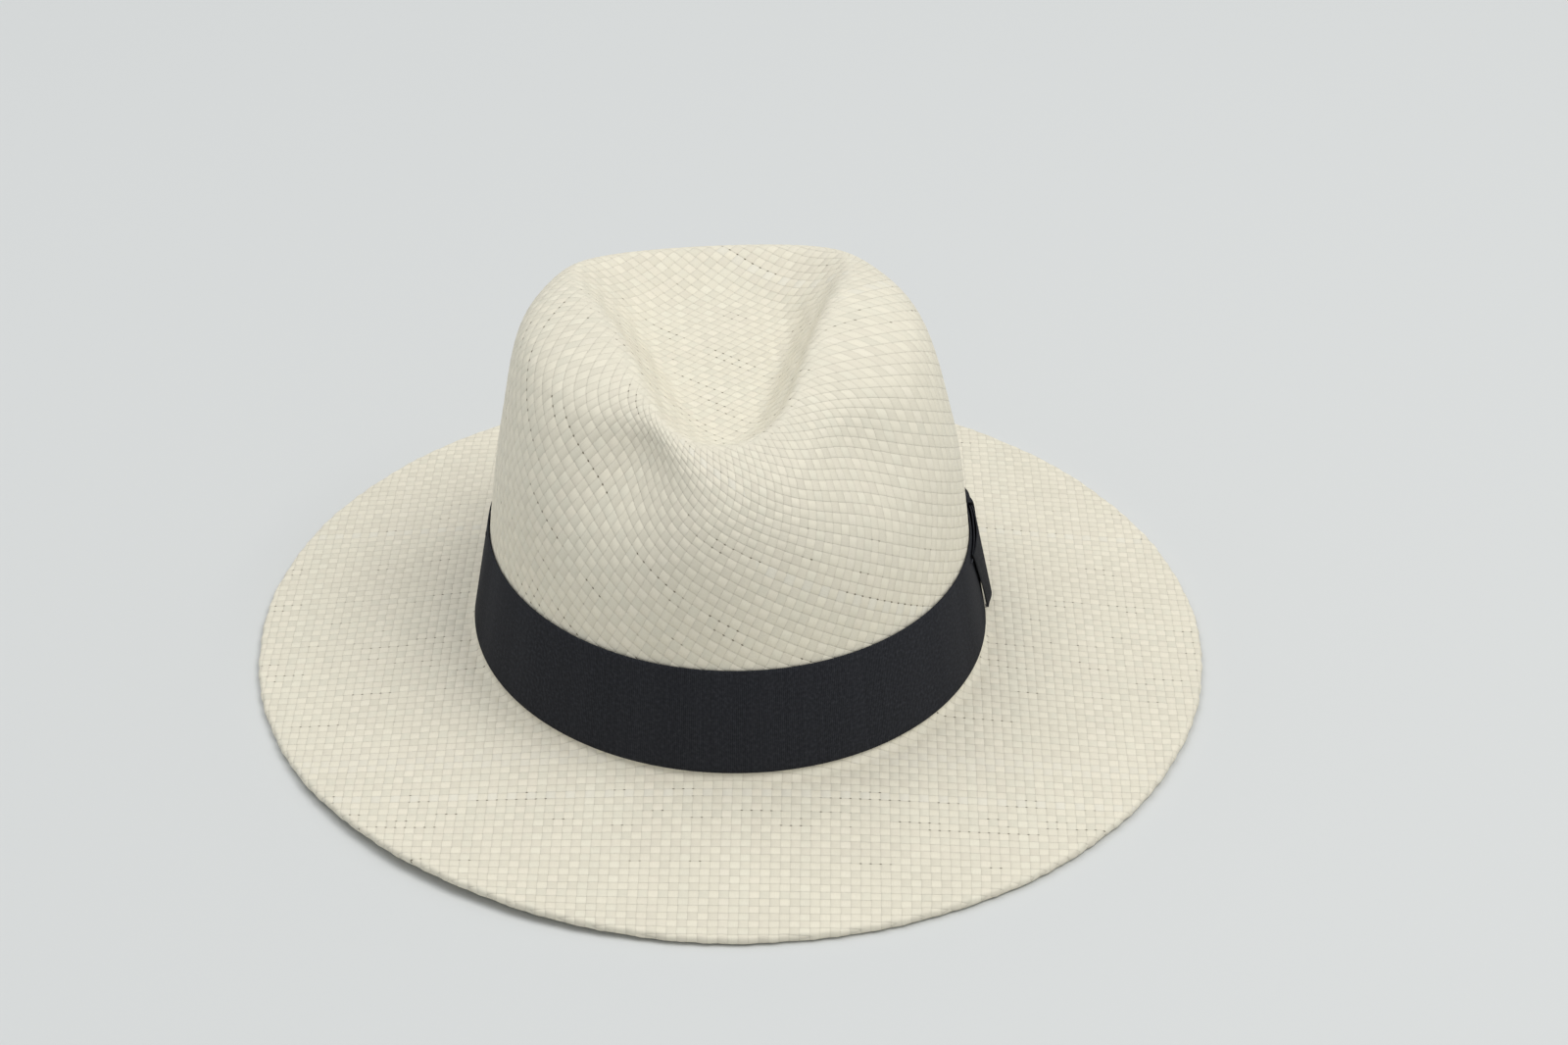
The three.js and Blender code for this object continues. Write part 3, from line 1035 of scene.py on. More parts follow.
class CrownForm:
    """The crown's surface: smooth curves through the block's rings."""

    def __init__(self, form: HatForm, pinches: Pinches) -> None:
        """Lists the rings from the lower edge to the middle of the dent.

        Args:
            form: the hat's form.
            pinches: the two front pinches.
        """
        self.form = form
        self.pinches = pinches
        self.rings = [
            self._wall_ring(form.crown_outer, 13.5), self._wall_ring(form.crown_outer, 28.0),
            self._wall_ring(form.band_inner - form.gap, form.band_top / MM),
            Ring(77.5, 0, 0, 89.5, 95.5, (84, 86, 84)),
            Ring(67, 0.17, 0, 78, 91.5, (103, 115, 104), 2),
            Ring(41, 0.52, 0.53, 61, 86, (111, 123, 112), 7),
            Ring(30, 0.54, 0.46, 52, 74, (107, 114, 108), 6),
            Ring(21, 0.56, 0.3, 41, 60, (103.5, 104.5, 104), 4),
            Ring(12, 0.5, 0.2, 22, 38, (103, 103, 103.5), 2),
            Ring(0, 0, 0, -8, 8, (103, 103, 103)),
        ]
        self.spots, self.lengths = self._even_steps()

    def _wall_ring(self, offset: float, height: float) -> Ring:
        """Makes a plain ring on the leaning wall.

        Args:
            offset: distance out from the ribbon's outer face, in metres.
            height: height above the ground, in millimetres.

        Returns:
            The ring.
        """
        reach = (offset - self.form.lean * (height * MM - self.form.band_bottom)) / MM
        length = self.form.half_length / MM + reach
        return Ring(self.form.half_width / MM + reach, 0, 0, length, length, (height,) * 3)

    def surface(self, angle: np.ndarray, along: np.ndarray) -> np.ndarray:
        """Finds points of the outer face.

        Args:
            angle: angles round the hat.
            along: ring counts from the lower edge.

        Returns:
            The points.
        """
        last = len(self.rings) - 1
        start = np.clip(np.floor(along).astype(int), 0, last - 1)
        t = (along - start)[..., None]
        table = np.stack([ring.points(angle) for ring in self.rings]
                         + [self.rings[-2].points(angle + math.pi)])
        rows = np.arange(len(angle))
        before, first, second, after = (
            table[np.clip(start + step, 0, last + 1), rows] for step in (-1, 0, 1, 2))
        point = 0.5 * (2 * first + (second - before) * t
                       + (2 * before - 5 * first + 4 * second - after) * t ** 2
                       + (3 * first - before - 3 * second + after) * t ** 3)
        inward = -point * np.array([1, 1, 0])
        inward /= np.maximum(np.linalg.norm(inward, axis=-1, keepdims=True), 1e-6)
        return point + inward * self.pinches.depth_at(angle, along)[:, None]

    def _even_steps(self) -> tuple[np.ndarray, np.ndarray]:
        """Measures up the crown, averaged round it.

        Returns:
            Ring counts, and the distance up to each.
        """
        last = len(self.rings) - 1
        spots = np.linspace(0, last, 901)
        lengths = np.zeros(len(spots))
        for angle in np.linspace(0, TURN, 24, endpoint=False):
            lengths += section_lengths(self.surface(np.full(len(spots), angle), spots))
        return spots, lengths / 24

    def along(self, share: np.ndarray) -> np.ndarray:
        """Turns an even share of the way up into a ring count.

        Args:
            share: shares of the way up, from 0 to 1.

        Returns:
            The ring counts.
        """
        return np.interp(share * self.lengths[-1], self.lengths, self.spots)

    def normal(self, angle: np.ndarray, along: np.ndarray) -> np.ndarray:
        """Finds the outward directions of the surface.

        Args:
            angle: angles round the hat.
            along: ring counts from the lower edge.

        Returns:
            The directions, each one unit long.
        """
        step = 0.004
        last = len(self.rings) - 1
        around = self.surface(angle + step, along) - self.surface(angle - step, along)
        low, high = np.clip(along - 0.02, 0, last), np.clip(along + 0.02, 0, last)
        up = self.surface(angle, high) - self.surface(angle, low)
        out = np.cross(around, up)
        length = np.linalg.norm(out, axis=-1, keepdims=True)
        return np.where(length > 1e-12, out / np.maximum(length, 1e-12), [0.0, 0.0, 1.0])


# ---------------------------------------------------------------------------------------------
# Woven pieces
# ---------------------------------------------------------------------------------------------


def weave_relief(strands: np.ndarray) -> np.ndarray:
    """Height of the plain weave.

    Args:
        strands: both strand numbers of each point.

    Returns:
        The heights, from about -0.5 to 1.
    """
    share = strands - np.floor(strands)
    side = 1 - 2 * (np.floor(strands).sum(-1) % 2)
    arch = np.sin(share * math.pi)
    edge = np.abs(2 * share - 1) ** 4
    first = arch[..., 1] * side - 0.4 * edge[..., 0]
    second = -arch[..., 0] * side - 0.4 * edge[..., 1] + 0.2
    return np.maximum(first, second)


@dataclass(frozen=True)
class CrownWeave:
    """How the strands run over the crown."""

    first_family: int = 135
    second_family: int = 71
    top_pitch: float = 3.55 * MM
    top_turn: float = math.radians(46)
    top_from: float = 4.75
    top_to: float = 5.3

    def wall_chart(self, angle: np.ndarray, height: np.ndarray, girth: float) -> np.ndarray:
        """Strand numbers on the wall, on a slanting net that closes on itself.

        Args:
            angle: angles round the hat.
            height: distances up the crown.
            girth: the length once round, which holds whole strands.

        Returns:
            Both strand numbers of each point.
        """
        strands = math.hypot(self.first_family, self.second_family)
        pitch = girth / strands
        across = angle / TURN * self.first_family
        down = angle / TURN * self.second_family
        rise = height / pitch / strands
        return np.stack([across - rise * self.second_family, down + rise * self.first_family], -1)

    def top_chart(self, points: np.ndarray) -> np.ndarray:
        """Strand numbers in the dent, on a level net.

        Args:
            points: points of the dent.

        Returns:
            Both strand numbers of each point.
        """
        x, y = points[:, 0] / self.top_pitch, points[:, 1] / self.top_pitch
        cosine, sine = math.cos(self.top_turn), math.sin(self.top_turn)
        return np.stack([x * cosine - y * sine, x * sine + y * cosine], -1)

    def share_of_top(self, along: np.ndarray) -> np.ndarray:
        """Says where the level net takes over.

        Args:
            along: ring counts from the lower edge.

        Returns:
            1 in the dent and 0 on the wall.
        """
        share = np.clip((along - self.top_from) / (self.top_to - self.top_from), 0, 1)
        return share * share * (3 - 2 * share)


@dataclass(frozen=True)
class CrownShell:
    """The blocked crown of woven straw."""

    form: HatForm
    block: CrownForm
    weave: CrownWeave = CrownWeave()
    columns: int = 560
    outer_rows: int = 150
    inner_rows: int = 26
    relief: float = 0.13 * MM
    relief_from: float = 2.02
    mask_spots: int = 400
    mask_angles: int = 360

    def build(self, finishes: Finishes) -> bpy.types.Object:
        """Makes the shell: its outer face with the weave's relief, and its inner face.

        Args:
            finishes: the materials.

        Returns:
            The finished piece.
        """
        girth = self.form.girth(self.form.crown_outer, self.form.band_top)
        length = self.block.lengths[-1]

        def charts_of(u: np.ndarray, share: np.ndarray) -> tuple:
            """Finds the surface and both charts.

            Args:
                u: share of the way round, from 0 to 1.
                share: share of the way up, from 0 to 1.

            Returns:
                The angles, ring counts, points, wall chart and top chart.
            """
            angle = u * TURN
            along = self.block.along(share)
            points = self.block.surface(angle, along)
            wall = self.weave.wall_chart(angle, share * length, girth)
            return angle, along, points, wall, self.weave.top_chart(points)

        def outside(u: np.ndarray, v: np.ndarray) -> np.ndarray:
            """Lays the outer face, with its relief.

            Args:
                u: share of the way round, from 0 to 1.
                v: share of the way along the section, from 0 to 1.

            Returns:
                The points.
            """
            angle, along, points, wall, top = charts_of(u, v)
            share = self.weave.share_of_top(along)
            height = weave_relief(wall) * (1 - share) + weave_relief(top) * share
            free = np.clip((along - self.relief_from) / 0.1, 0, 1)
            return points + self.block.normal(angle, along) * (height * free * self.relief)[:, None]

        def inside(u: np.ndarray, v: np.ndarray) -> np.ndarray:
            """Lays the inner face, which meets the outer one at the lower edge.

            Args:
                u: share of the way round, from 0 to 1.
                v: share of the way along the section, from 0 to 1.

            Returns:
                The points.
            """
            angle, along, points, _, _ = charts_of(u, v)
            depth = np.where(v == 0, 0.0, self.form.straw)
            return points - self.block.normal(angle, along) * depth[:, None]

        chart = {
            "wall_chart": lambda u, v: charts_of(u, v)[3],
            "top_chart": lambda u, v: charts_of(u, v)[4],
        }
        outer = shaped_grid("crown", self.columns, self.outer_rows, outside, chart)
        inner = shaped_grid("crown_inside", self.columns, self.inner_rows, inside, chart)
        active_only(outer)
        inner.select_set(True)
        bpy.ops.object.join()
        edit(outer, lambda: bpy.ops.mesh.remove_doubles(threshold=0.01 * MM))
        face_outward(outer)
        self._mark_dent(outer)
        smooth(outer, 60)
        return finish_piece(outer, finishes.crown, Slot.STRAW, ["crown"])

    def _mark_dent(self, obj: bpy.types.Object) -> None:
        """Writes where the level net takes over, from each corner's nearness to the ridge.

        Args:
            obj: the crown.
        """
        mesh = obj.data
        spots = np.linspace(0, len(self.block.rings) - 1, self.mask_spots)
        angles = np.linspace(0, TURN, self.mask_angles, endpoint=False)
        grid = np.stack([self.block.surface(angles, np.full(self.mask_angles, spot))
                         for spot in spots])
        points = np.empty(len(mesh.vertices) * 3)
        mesh.vertices.foreach_get("co", points)
        points = points.reshape(-1, 3)
        tree = KDTree(grid.shape[0] * grid.shape[1])
        for index, point in enumerate(grid.reshape(-1, 3)):
            tree.insert(point, index)
        tree.balance()
        nearest = np.array([tree.find(point)[1] for point in points]) // self.mask_angles
        share = self.weave.share_of_top(spots[nearest])
        mask = mesh.attributes.new("dent", "FLOAT", "POINT")
        mask.data.foreach_set("value", share.astype(np.float32))


@dataclass(frozen=True)
class BrimShell:
    """The brim: collar, bend, upper face, folded edge, hem and underside."""

    form: HatForm
    columns: int = 720
    top_rows: int = 72
    column_pitch: float = 3.2 * MM
    row_pitch: float = 3.55 * MM
    turn: float = math.radians(7)
    relief: float = 0.13 * MM
    collar_top: float = 25.0 * MM
    hem_depth: float = 9.0 * MM

    def _section(self) -> tuple[np.ndarray, np.ndarray]:
        """Draws the closed outline.

        Returns:
            Its corners as (outward, height), and how far the relief shows at each.
        """
        form = self.form
        flat = form.collar_outer + form.bend_radius
        middle = form.brim_width - form.edge_height / 2
        bend = math.radians(84)

        def lean(height: float) -> float:
            """How far the wall has leaned in at a height.

            Args:
                height: height above the ground.

            Returns:
                The distance.
            """
            return form.lean * (height - form.bend_height)

        def bend_arc(radius: float) -> np.ndarray:
            """Corners of the bend between brim and collar.

            Args:
                radius: its radius.

            Returns:
                The corners.
            """
            turn = math.pi + np.linspace(0, 1, 6) * bend
            return np.stack([flat + np.cos(turn) * radius, form.bend_height + np.sin(turn) * radius], -1)

        def edge_arc(radius: float) -> np.ndarray:
            """Corners of the fold at the brim's edge.

            Args:
                radius: its radius.

            Returns:
                The corners.
            """
            turn = np.linspace(math.pi / 2, -math.pi / 2, 8)
            return np.stack([middle + np.cos(turn) * radius,
                             form.edge_height / 2 + np.sin(turn) * radius], -1)

        spread = np.linspace(bend_arc(form.bend_radius)[-1, 0], middle, self.top_rows + 1)[1:-1]
        top = np.stack([spread, form.brim_top(spread)], -1)
        hem = np.linspace(middle, form.brim_width - self.hem_depth, 7)
        under = np.linspace(middle, bend_arc(form.bend_radius)[-1, 0], 24)[1:-1]
        collar = self.collar_top
        parts = [
            (np.array([[form.collar_outer - lean(collar), collar]]), 0.0),
            (bend_arc(form.bend_radius), 0.0), (top, 1.0), (edge_arc(form.edge_height / 2), 1.0),
            (np.stack([hem, np.zeros_like(hem)], -1)[1:], 0.0),
            (np.stack([hem, np.full_like(hem, form.straw)], -1)[::-1][:-1], 0.0),
            (edge_arc(form.edge_height / 2 - form.straw)[::-1], 0.0),
            (np.stack([under, form.brim_top(under) - form.straw], -1), 0.0),
            (bend_arc(form.bend_radius + form.straw)[::-1], 0.0),
            (np.array([[form.collar_inner - lean(collar), collar]]), 0.0),
        ]
        corners = np.concatenate([part for part, _ in parts])
        shows = np.concatenate([np.full(len(part), amount) for part, amount in parts])
        return np.vstack([corners, corners[:1]]), np.append(shows, 0.0)

    def _flat_chart(self, angle: np.ndarray, reach: np.ndarray) -> np.ndarray:
        """Lays a level net of strands.

        Args:
            angle: angles round the hat.
            reach: unrolled distances from the ribbon.

        Returns:
            Both strand numbers of each point.
        """
        points = self.form.oval(angle, reach, np.zeros_like(reach))
        x, y = points[:, 0], points[:, 1]
        cosine, sine = math.cos(self.turn), math.sin(self.turn)
        return np.stack([(x * cosine - y * sine) / self.column_pitch,
                         (x * sine + y * cosine) / self.row_pitch], -1)

    def _raggedness(self, angle: np.ndarray) -> np.ndarray:
        """Finds how unevenly the edge was folded.

        Args:
            angle: angles round the hat.

        Returns:
            How far the edge falls short, as a negative distance.
        """
        waves = ((7, 0.10, 0.3), (19, 0.12, 1.1), (43, 0.10, 2.0), (97, 0.12, 0.7), (151, 0.10, 2.6))
        return -MM * sum(size * (1 + np.sin(count * angle + start)) for count, size, start in waves)

    def build(self, finishes: Finishes) -> bpy.types.Object:
        """Makes the brim.

        Args:
            finishes: the materials.

        Returns:
            The finished piece.
        """
        section, shows = self._section()
        rows = len(section) - 1
        edge_row = int(np.argmax(section[:, 0]))
        lengths = section_lengths(section)
        reach = self.form.brim_width + np.where(
            np.arange(rows + 1) <= edge_row, lengths - lengths[edge_row],
            lengths[edge_row] - lengths)
        directions = np.gradient(section, axis=0)
        normals = np.stack([-directions[:, 1], directions[:, 0]], -1)
        normals /= np.maximum(np.linalg.norm(normals, axis=1, keepdims=True), 1e-9)

        def chart(u: np.ndarray, v: np.ndarray) -> np.ndarray:
            """Charts the weave.

            Args:
                u: share of the way round, from 0 to 1.
                v: share of the way along the section, from 0 to 1.

            Returns:
                Both strand numbers of each point.
            """
            row = np.round(v * rows).astype(int)
            return self._flat_chart(u * TURN, reach[row])

        def place(u: np.ndarray, v: np.ndarray) -> np.ndarray:
            """Lays the outline round the hat, with its relief.

            Args:
                u: share of the way round, from 0 to 1.
                v: share of the way along the section, from 0 to 1.

            Returns:
                The points.
            """
            row = np.round(v * rows).astype(int)
            height = weave_relief(self._flat_chart(u * TURN, reach[row])) * shows[row] * self.relief
            corner = section[row] + normals[row] * height[:, None]
            near_edge = np.clip(1 - (self.form.brim_width - corner[:, 0]) / self.hem_depth, 0, 1)
            outward = corner[:, 0] + self._raggedness(u * TURN) * near_edge
            return self.form.brim(u * TURN, outward, corner[:, 1])

        obj = shaped_grid("brim", self.columns, rows, place, {"brim_chart": chart})
        face_outward(obj)
        smooth(obj, 60)
        return finish_piece(obj, finishes.brim, Slot.STRAW, ["brim"])


# ---------------------------------------------------------------------------------------------
# Bands, bow, label and threads
# ---------------------------------------------------------------------------------------------


@dataclass(frozen=True)
class Band:
    """A band of cloth laid round the wall."""

    name: str
    outer: float
    inner: float
    bottom: float
    top: float
    columns: int
    rows: int
    rib: float = 0.0

    def build(self, form: HatForm) -> bpy.types.Object:
        """Makes the band with softly rounded edges and, where asked, upright ribs.

        Args:
            form: the hat's form.

        Returns:
            The band, without a material.
        """
        middle, half = (self.outer + self.inner) / 2, (self.outer - self.inner) / 2
        rise = np.linspace(self.bottom + half, self.top - half, self.rows)
        turns = np.linspace(0, math.pi, 5)[1:-1]
        outer = np.stack([np.full_like(rise, self.outer), rise], -1)
        top = np.stack([middle + half * np.cos(turns), self.top - half + half * np.sin(turns)], -1)
        fewer = rise[::-4]
        inner = np.stack([np.full_like(fewer, self.inner), fewer], -1)
        bottom = np.stack([middle - half * np.cos(turns), self.bottom + half - half * np.sin(turns)], -1)
        section = np.vstack([outer, top, inner, bottom, outer[:1]])
        shows = np.concatenate([np.ones(len(outer) + len(top)), np.zeros(len(inner)),
                                np.ones(len(bottom) + 1)])
        rows = len(section) - 1
        lengths = section_lengths(section)
        girth = form.girth(self.outer, (self.bottom + self.top) / 2)

        def place(u: np.ndarray, v: np.ndarray) -> np.ndarray:
            """Lays the section round the wall.

            Args:
                u: share of the way round, from 0 to 1.
                v: share of the way along the section, from 0 to 1.

            Returns:
                The points.
            """
            row = np.round(v * rows).astype(int)
            column = np.round(u * self.columns).astype(int) % self.columns
            rib = (column % 2) * self.rib * shows[row]
            return form.wall(u * TURN, section[row, 0] - rib, section[row, 1])

        def chart(u: np.ndarray, v: np.ndarray) -> np.ndarray:
            """Charts the cloth in metres.

            Args:
                u: share of the way round, from 0 to 1.
                v: share of the way along the section, from 0 to 1.

            Returns:
                Distances round and along the section.
            """
            return np.stack([u * girth, lengths[np.round(v * rows).astype(int)]], -1)

        obj = shaped_grid(self.name, self.columns, rows, place, {"ribbon": chart})
        face_outward(obj)
        smooth(obj, 60)
        return obj


@dataclass(frozen=True)
class Bow:
    """The flat bow on the wearer's left: a folded strip for both loops, and a knot round it."""

    form: HatForm
    centre: float = math.radians(98)
    half_length: float = 35.7 * MM
    height: float = 33.0 * MM
    bottom: float = 13.7 * MM
    flare: float = 0.56
    ribbon: float = 0.5 * MM
    back: float = 1.1 * MM
    pinched: float = 1.3 * MM
    puff_low: float = 1.9 * MM
    puff_high: float = 0.4 * MM
    end_gap: float = 0.4 * MM
    back_reach: float = 16.0 * MM
    loop_start: float = 1.0 * MM
    sag: float = 0.25 * MM
    knot_half_length: float = 6.5 * MM
    knot_fold: float = 0.18 * MM
    knot_overlap: float = 6.0 * MM
    waist: float = 0.12
    waist_reach: float = 11.0 * MM
    arc_radius: float = 101.0 * MM
    rounding: float = 0.3
    rib: float = 0.05 * MM

    def lay(self, along: np.ndarray, offset: np.ndarray, height: np.ndarray) -> np.ndarray:
        """Lays the flat bow on the wall.

        Args:
            along: distances along the ribbon.
            offset: distances out from the ribbon's outer face.
            height: heights above the ground.

        Returns:
            The points.
        """
        share = (height - self.bottom) / self.height - 0.5
        return self.form.wall(self.centre + along * (1 + self.flare * share) / self.arc_radius,
                              offset, height)

    def _turned(self, turn: np.ndarray, length: np.ndarray, thickness: np.ndarray) -> tuple:
        """Points on a rounded rectangle.

        Args:
            turn: turns round it.
            length: its half length.
            thickness: its half thickness.

        Returns:
            Distances along it and across it.
        """
        def squared(value: np.ndarray) -> np.ndarray:
            """Pushes a sine or cosine towards the rectangle.

            Args:
                value: the numbers.

            Returns:
                The pushed numbers.
            """
            return np.sign(value) * np.abs(value) ** self.rounding
        return length * squared(np.cos(turn)), thickness * squared(np.sin(turn))

    def _back(self, along: np.ndarray) -> np.ndarray:
        """Finds the loops' inner face, which leaves room for the knot behind them.

        Args:
            along: distances along the ribbon.

        Returns:
            Its offsets.
        """
        return self.end_gap + (self.back - self.end_gap) * np.exp(-(along / self.back_reach) ** 4)

    def _thickness(self, along: np.ndarray, level: np.ndarray) -> np.ndarray:
        """How far the loops stand open; their lower edges stand open more.

        Args:
            along: distances along the ribbon.
            level: heights above the bow's lower edge.

        Returns:
            The thicknesses.
        """
        start = self.knot_half_length + self.loop_start
        share = np.clip((np.abs(along) - start) / (self.half_length - start), 0, 1)
        puff = self.puff_low + (self.puff_high - self.puff_low) * level / self.height
        return self.pinched + puff * np.sin(share * math.pi) ** 2

    def loops(self) -> bpy.types.Object:
        """Makes both loops from one closed strip.

        Returns:
            The loops, without a material.
        """
        columns, rise = 392, 22
        levels = np.linspace(0, self.height, rise)
        section = np.vstack([
            np.stack([np.zeros(rise), levels], -1),
            np.stack([np.full(rise, self.ribbon), levels[::-1]], -1), [[0.0, 0.0]]])
        rows = len(section) - 1

        def place(u: np.ndarray, v: np.ndarray) -> np.ndarray:
            """Lays the strip round both loops.

            Args:
                u: share of the way round, from 0 to 1.
                v: share of the way along the section, from 0 to 1.

            Returns:
                The points.
            """
            deep, level = section[np.round(v * rows).astype(int)].T
            turn = u * TURN
            column = np.round(u * columns).astype(int) % columns
            rib = (column % 2) * self.rib
            along = (self.half_length - deep) * np.cos(turn)
            half = self._thickness(along, level) / 2
            _, across = self._turned(turn, self.half_length, half - deep - rib * (deep == 0))
            gathered = 1 - self.waist * np.exp(-(along / self.waist_reach) ** 2)
            height = self.bottom + self.height / 2 + (level - self.height / 2) * gathered
            sag = (self.sag * np.sin(level / self.height * math.pi)
                   * np.cos(along / self.half_length * 3))
            return self.lay(along, self._back(along) + half + across + sag * (across > 0), height)

        def chart(u: np.ndarray, v: np.ndarray) -> np.ndarray:
            """Charts the ribbon in metres.

            Args:
                u: share of the way round, from 0 to 1.
                v: share of the way along the section, from 0 to 1.

            Returns:
                Distances along and up the ribbon.
            """
            level = section[np.round(v * rows).astype(int), 1]
            return np.stack([4 * self.half_length * np.abs(np.cos(u * math.pi)), level], -1)

        obj = shaped_grid("bow_loops", columns, rows, place, {"ribbon": chart})
        face_outward(obj)
        smooth(obj, 50)
        return obj

    def knot(self) -> bpy.types.Object:
        """Makes the knot, a short loop of ribbon round the middle.

        Returns:
            The knot, without a material.
        """
        columns, across_rows = 150, 14
        half_length = self.knot_half_length
        spread = np.linspace(-half_length, half_length, across_rows)
        section = np.vstack([
            np.stack([np.zeros(across_rows), spread], -1),
            np.stack([np.full(across_rows, self.ribbon), spread[::-1]], -1), [[0.0, -half_length]]])
        rows = len(section) - 1
        half_height = self.height / 2 * (1 - self.waist / 2) + self.form.gap + self.ribbon
        half_thickness = self.pinched / 2 + self.form.gap + self.ribbon

        def place(u: np.ndarray, v: np.ndarray) -> np.ndarray:
            """Lays the strip round the middle.

            Args:
                u: share of the way round, from 0 to 1.
                v: share of the way along the section, from 0 to 1.

            Returns:
                The points.
            """
            deep, along = section[np.round(v * rows).astype(int)].T
            turn = u * TURN
            up, across = self._turned(turn, half_height - deep, half_thickness - deep)
            share = np.abs(along) / half_length
            fold = self.knot_fold * np.cos(share * math.pi * 2.5) * (across > 0)
            narrow = 1 - 0.10 * np.cos(up / half_height * math.pi / 2)
            return self.lay(along * narrow, self.back + self.pinched / 2 + across + fold,
                            self.bottom + self.height / 2 + up)

        def chart(u: np.ndarray, v: np.ndarray) -> np.ndarray:
            """Charts the ribbon in metres.

            Args:
                u: share of the way round, from 0 to 1.
                v: share of the way along the section, from 0 to 1.

            Returns:
                Distances round and along the knot.
            """
            along = section[np.round(v * rows).astype(int), 1]
            return np.stack([u * 4 * half_height, along], -1)

        obj = shaped_grid("bow_knot", columns, rows, place, {"ribbon": chart})
        face_outward(obj)
        smooth(obj, 50)
        return obj

    def build(self, finishes: Finishes) -> list[bpy.types.Object]:
        """Makes the loops and the knot.

        Args:
            finishes: the materials.

        Returns:
            The loops and the knot.
        """
        loops = finish_piece(self.loops(), finishes.ribbon, Slot.RIBBON, ["bow_loops"])
        knot = finish_piece(self.knot(), finishes.ribbon, Slot.RIBBON, ["bow_knot"])
        return [loops, knot]


def stitch(name: str, length: float, thickness: float) -> bpy.types.Object:
    """Models one short stitch of thread, lying along X.

    Args:
        name: the stitch's name.
        length: its length.
        thickness: the thread's thickness.

    Returns:
        The stitch.
    """
    deselect()
    bpy.ops.mesh.primitive_cylinder_add(vertices=8, radius=thickness / 2, depth=length,
                                        rotation=(0, math.pi / 2, 0))
    obj = bpy.context.active_object
    bpy.ops.object.transform_apply(location=True, rotation=True, scale=True)
    obj.name = name
    edit(obj, lambda: bpy.ops.mesh.bisect(plane_co=(length / 4, 0, 0), plane_no=(1, 0, 0)))
    edit(obj, lambda: bpy.ops.mesh.bisect(plane_co=(-length / 4, 0, 0), plane_no=(1, 0, 0)))
    active_only(obj)
    mesh = obj.data
    for vertex in mesh.vertices:
        bow = 1 - (abs(vertex.co.x) / (length / 2)) ** 2
        vertex.co.z += 0.35 * thickness * bow
    return obj


def mapped_copy(source: bpy.types.Object, name: str,
                place: Callable[[Vector], Sequence[float]]) -> bpy.types.Object:
    """Copies a modelled shape and moves each corner of the copy.

    Args:
        source: the shape to copy.
        name: the copy's name.
        place: turns a corner of the shape into its new place.

    Returns:
        The copy.
    """
    made = source.copy()
    made.data = source.data.copy()
    made.name = name
    made.data.name = name
    bpy.context.scene.collection.objects.link(made)
    for vertex in made.data.vertices:
        vertex.co = place(vertex.co.copy())
    return made


def joined(name: str, pieces: Sequence[bpy.types.Object]) -> bpy.types.Object:
    """Joins pieces into one mesh.

    Args:
        name: the joined piece's name.
        pieces: the pieces to join.

    Returns:
        The joined piece.
    """
    active_only(pieces[0])
    for piece in pieces:
        piece.select_set(True)
    bpy.ops.object.join()
    obj = bpy.context.active_object
    obj.name = name
    obj.data.name = name
    face_outward(obj)
    smooth(obj, 50)
    return obj


def point_on_wall(form: HatForm, angle: float, offset: float, height: float) -> tuple:
    """Finds one point beside the wall.

    Args:
        form: the hat's form.
        angle: its angle.
        offset: its distance out from the ribbon's outer face.
        height: its height.

    Returns:
        The point.
    """
    return tuple(form.wall(np.array(angle), np.array(offset), np.array(height)))


@dataclass(frozen=True)
class StitchRow:
    """A row of running stitches round the wall."""

    name: str
    offset: float
    height: float
    count: int
    thickness: float = 0.5 * MM
    fill: float = 0.72

    def build(self, form: HatForm) -> bpy.types.Object:
        """Models one stitch and repeats it round the hat.

        Args:
            form: the hat's form.

        Returns:
            The row, without a material.
        """
        girth = form.girth(self.offset, self.height)
        source = stitch("stitch_model", girth / self.count * self.fill, self.thickness)
        radius = girth / TURN
        pieces = []
        for index in range(self.count):
            middle = index / self.count * TURN
            pieces.append(mapped_copy(source, f"{self.name}_{index}", lambda co: point_on_wall(
                form, middle + co.x / radius, self.offset - co.z, self.height + co.y)))
        bpy.data.objects.remove(source)
        return joined(self.name, pieces)


def thread_ring(form: HatForm, name: str, offset: float, height: float,
                thickness: float) -> bpy.types.Object:
    """Makes a plain round thread or wire round the wall.

    Args:
        form: the hat's form.
        name: the piece's name.
        offset: distance out from the ribbon's outer face.
        height: height above the ground.
        thickness: the thread's thickness.

    Returns:
        The ring, without a material.
    """
    columns, rows = 240, 8

    def place(u: np.ndarray, v: np.ndarray) -> np.ndarray:
        """Lays the round section along the wall.

        Args:
            u: share of the way round, from 0 to 1.
            v: share of the way along the section, from 0 to 1.

        Returns:
            The points.
        """
        turn = v * TURN
        return form.wall(u * TURN, offset + np.cos(turn) * thickness / 2,
                         height + np.sin(turn) * thickness / 2)

    obj = shaped_grid(name, columns, rows, place, {})
    face_outward(obj)
    smooth(obj, 60)
    return obj


def brim_wire(form: HatForm) -> bpy.types.Object:
    """Makes the wire inside the folded edge of the brim.

    Args:
        form: the hat's form.

    Returns:
        The wire, without a material.
    """
    columns, rows = 300, 10
    radius = 0.35 * MM
    middle = form.edge_height / 2

    def place(u: np.ndarray, v: np.ndarray) -> np.ndarray:
        """Lays the round section along the fold.

        Args:
            u: share of the way round, from 0 to 1.
            v: share of the way along the section, from 0 to 1.

        Returns:
            The points.
        """
        turn = v * TURN
        return form.brim(u * TURN, form.brim_width - middle + np.cos(turn) * radius,
                         middle + np.sin(turn) * radius)

    obj = shaped_grid("brim_wire", columns, rows, place, {})
    face_outward(obj)
    smooth(obj, 60)
    return obj


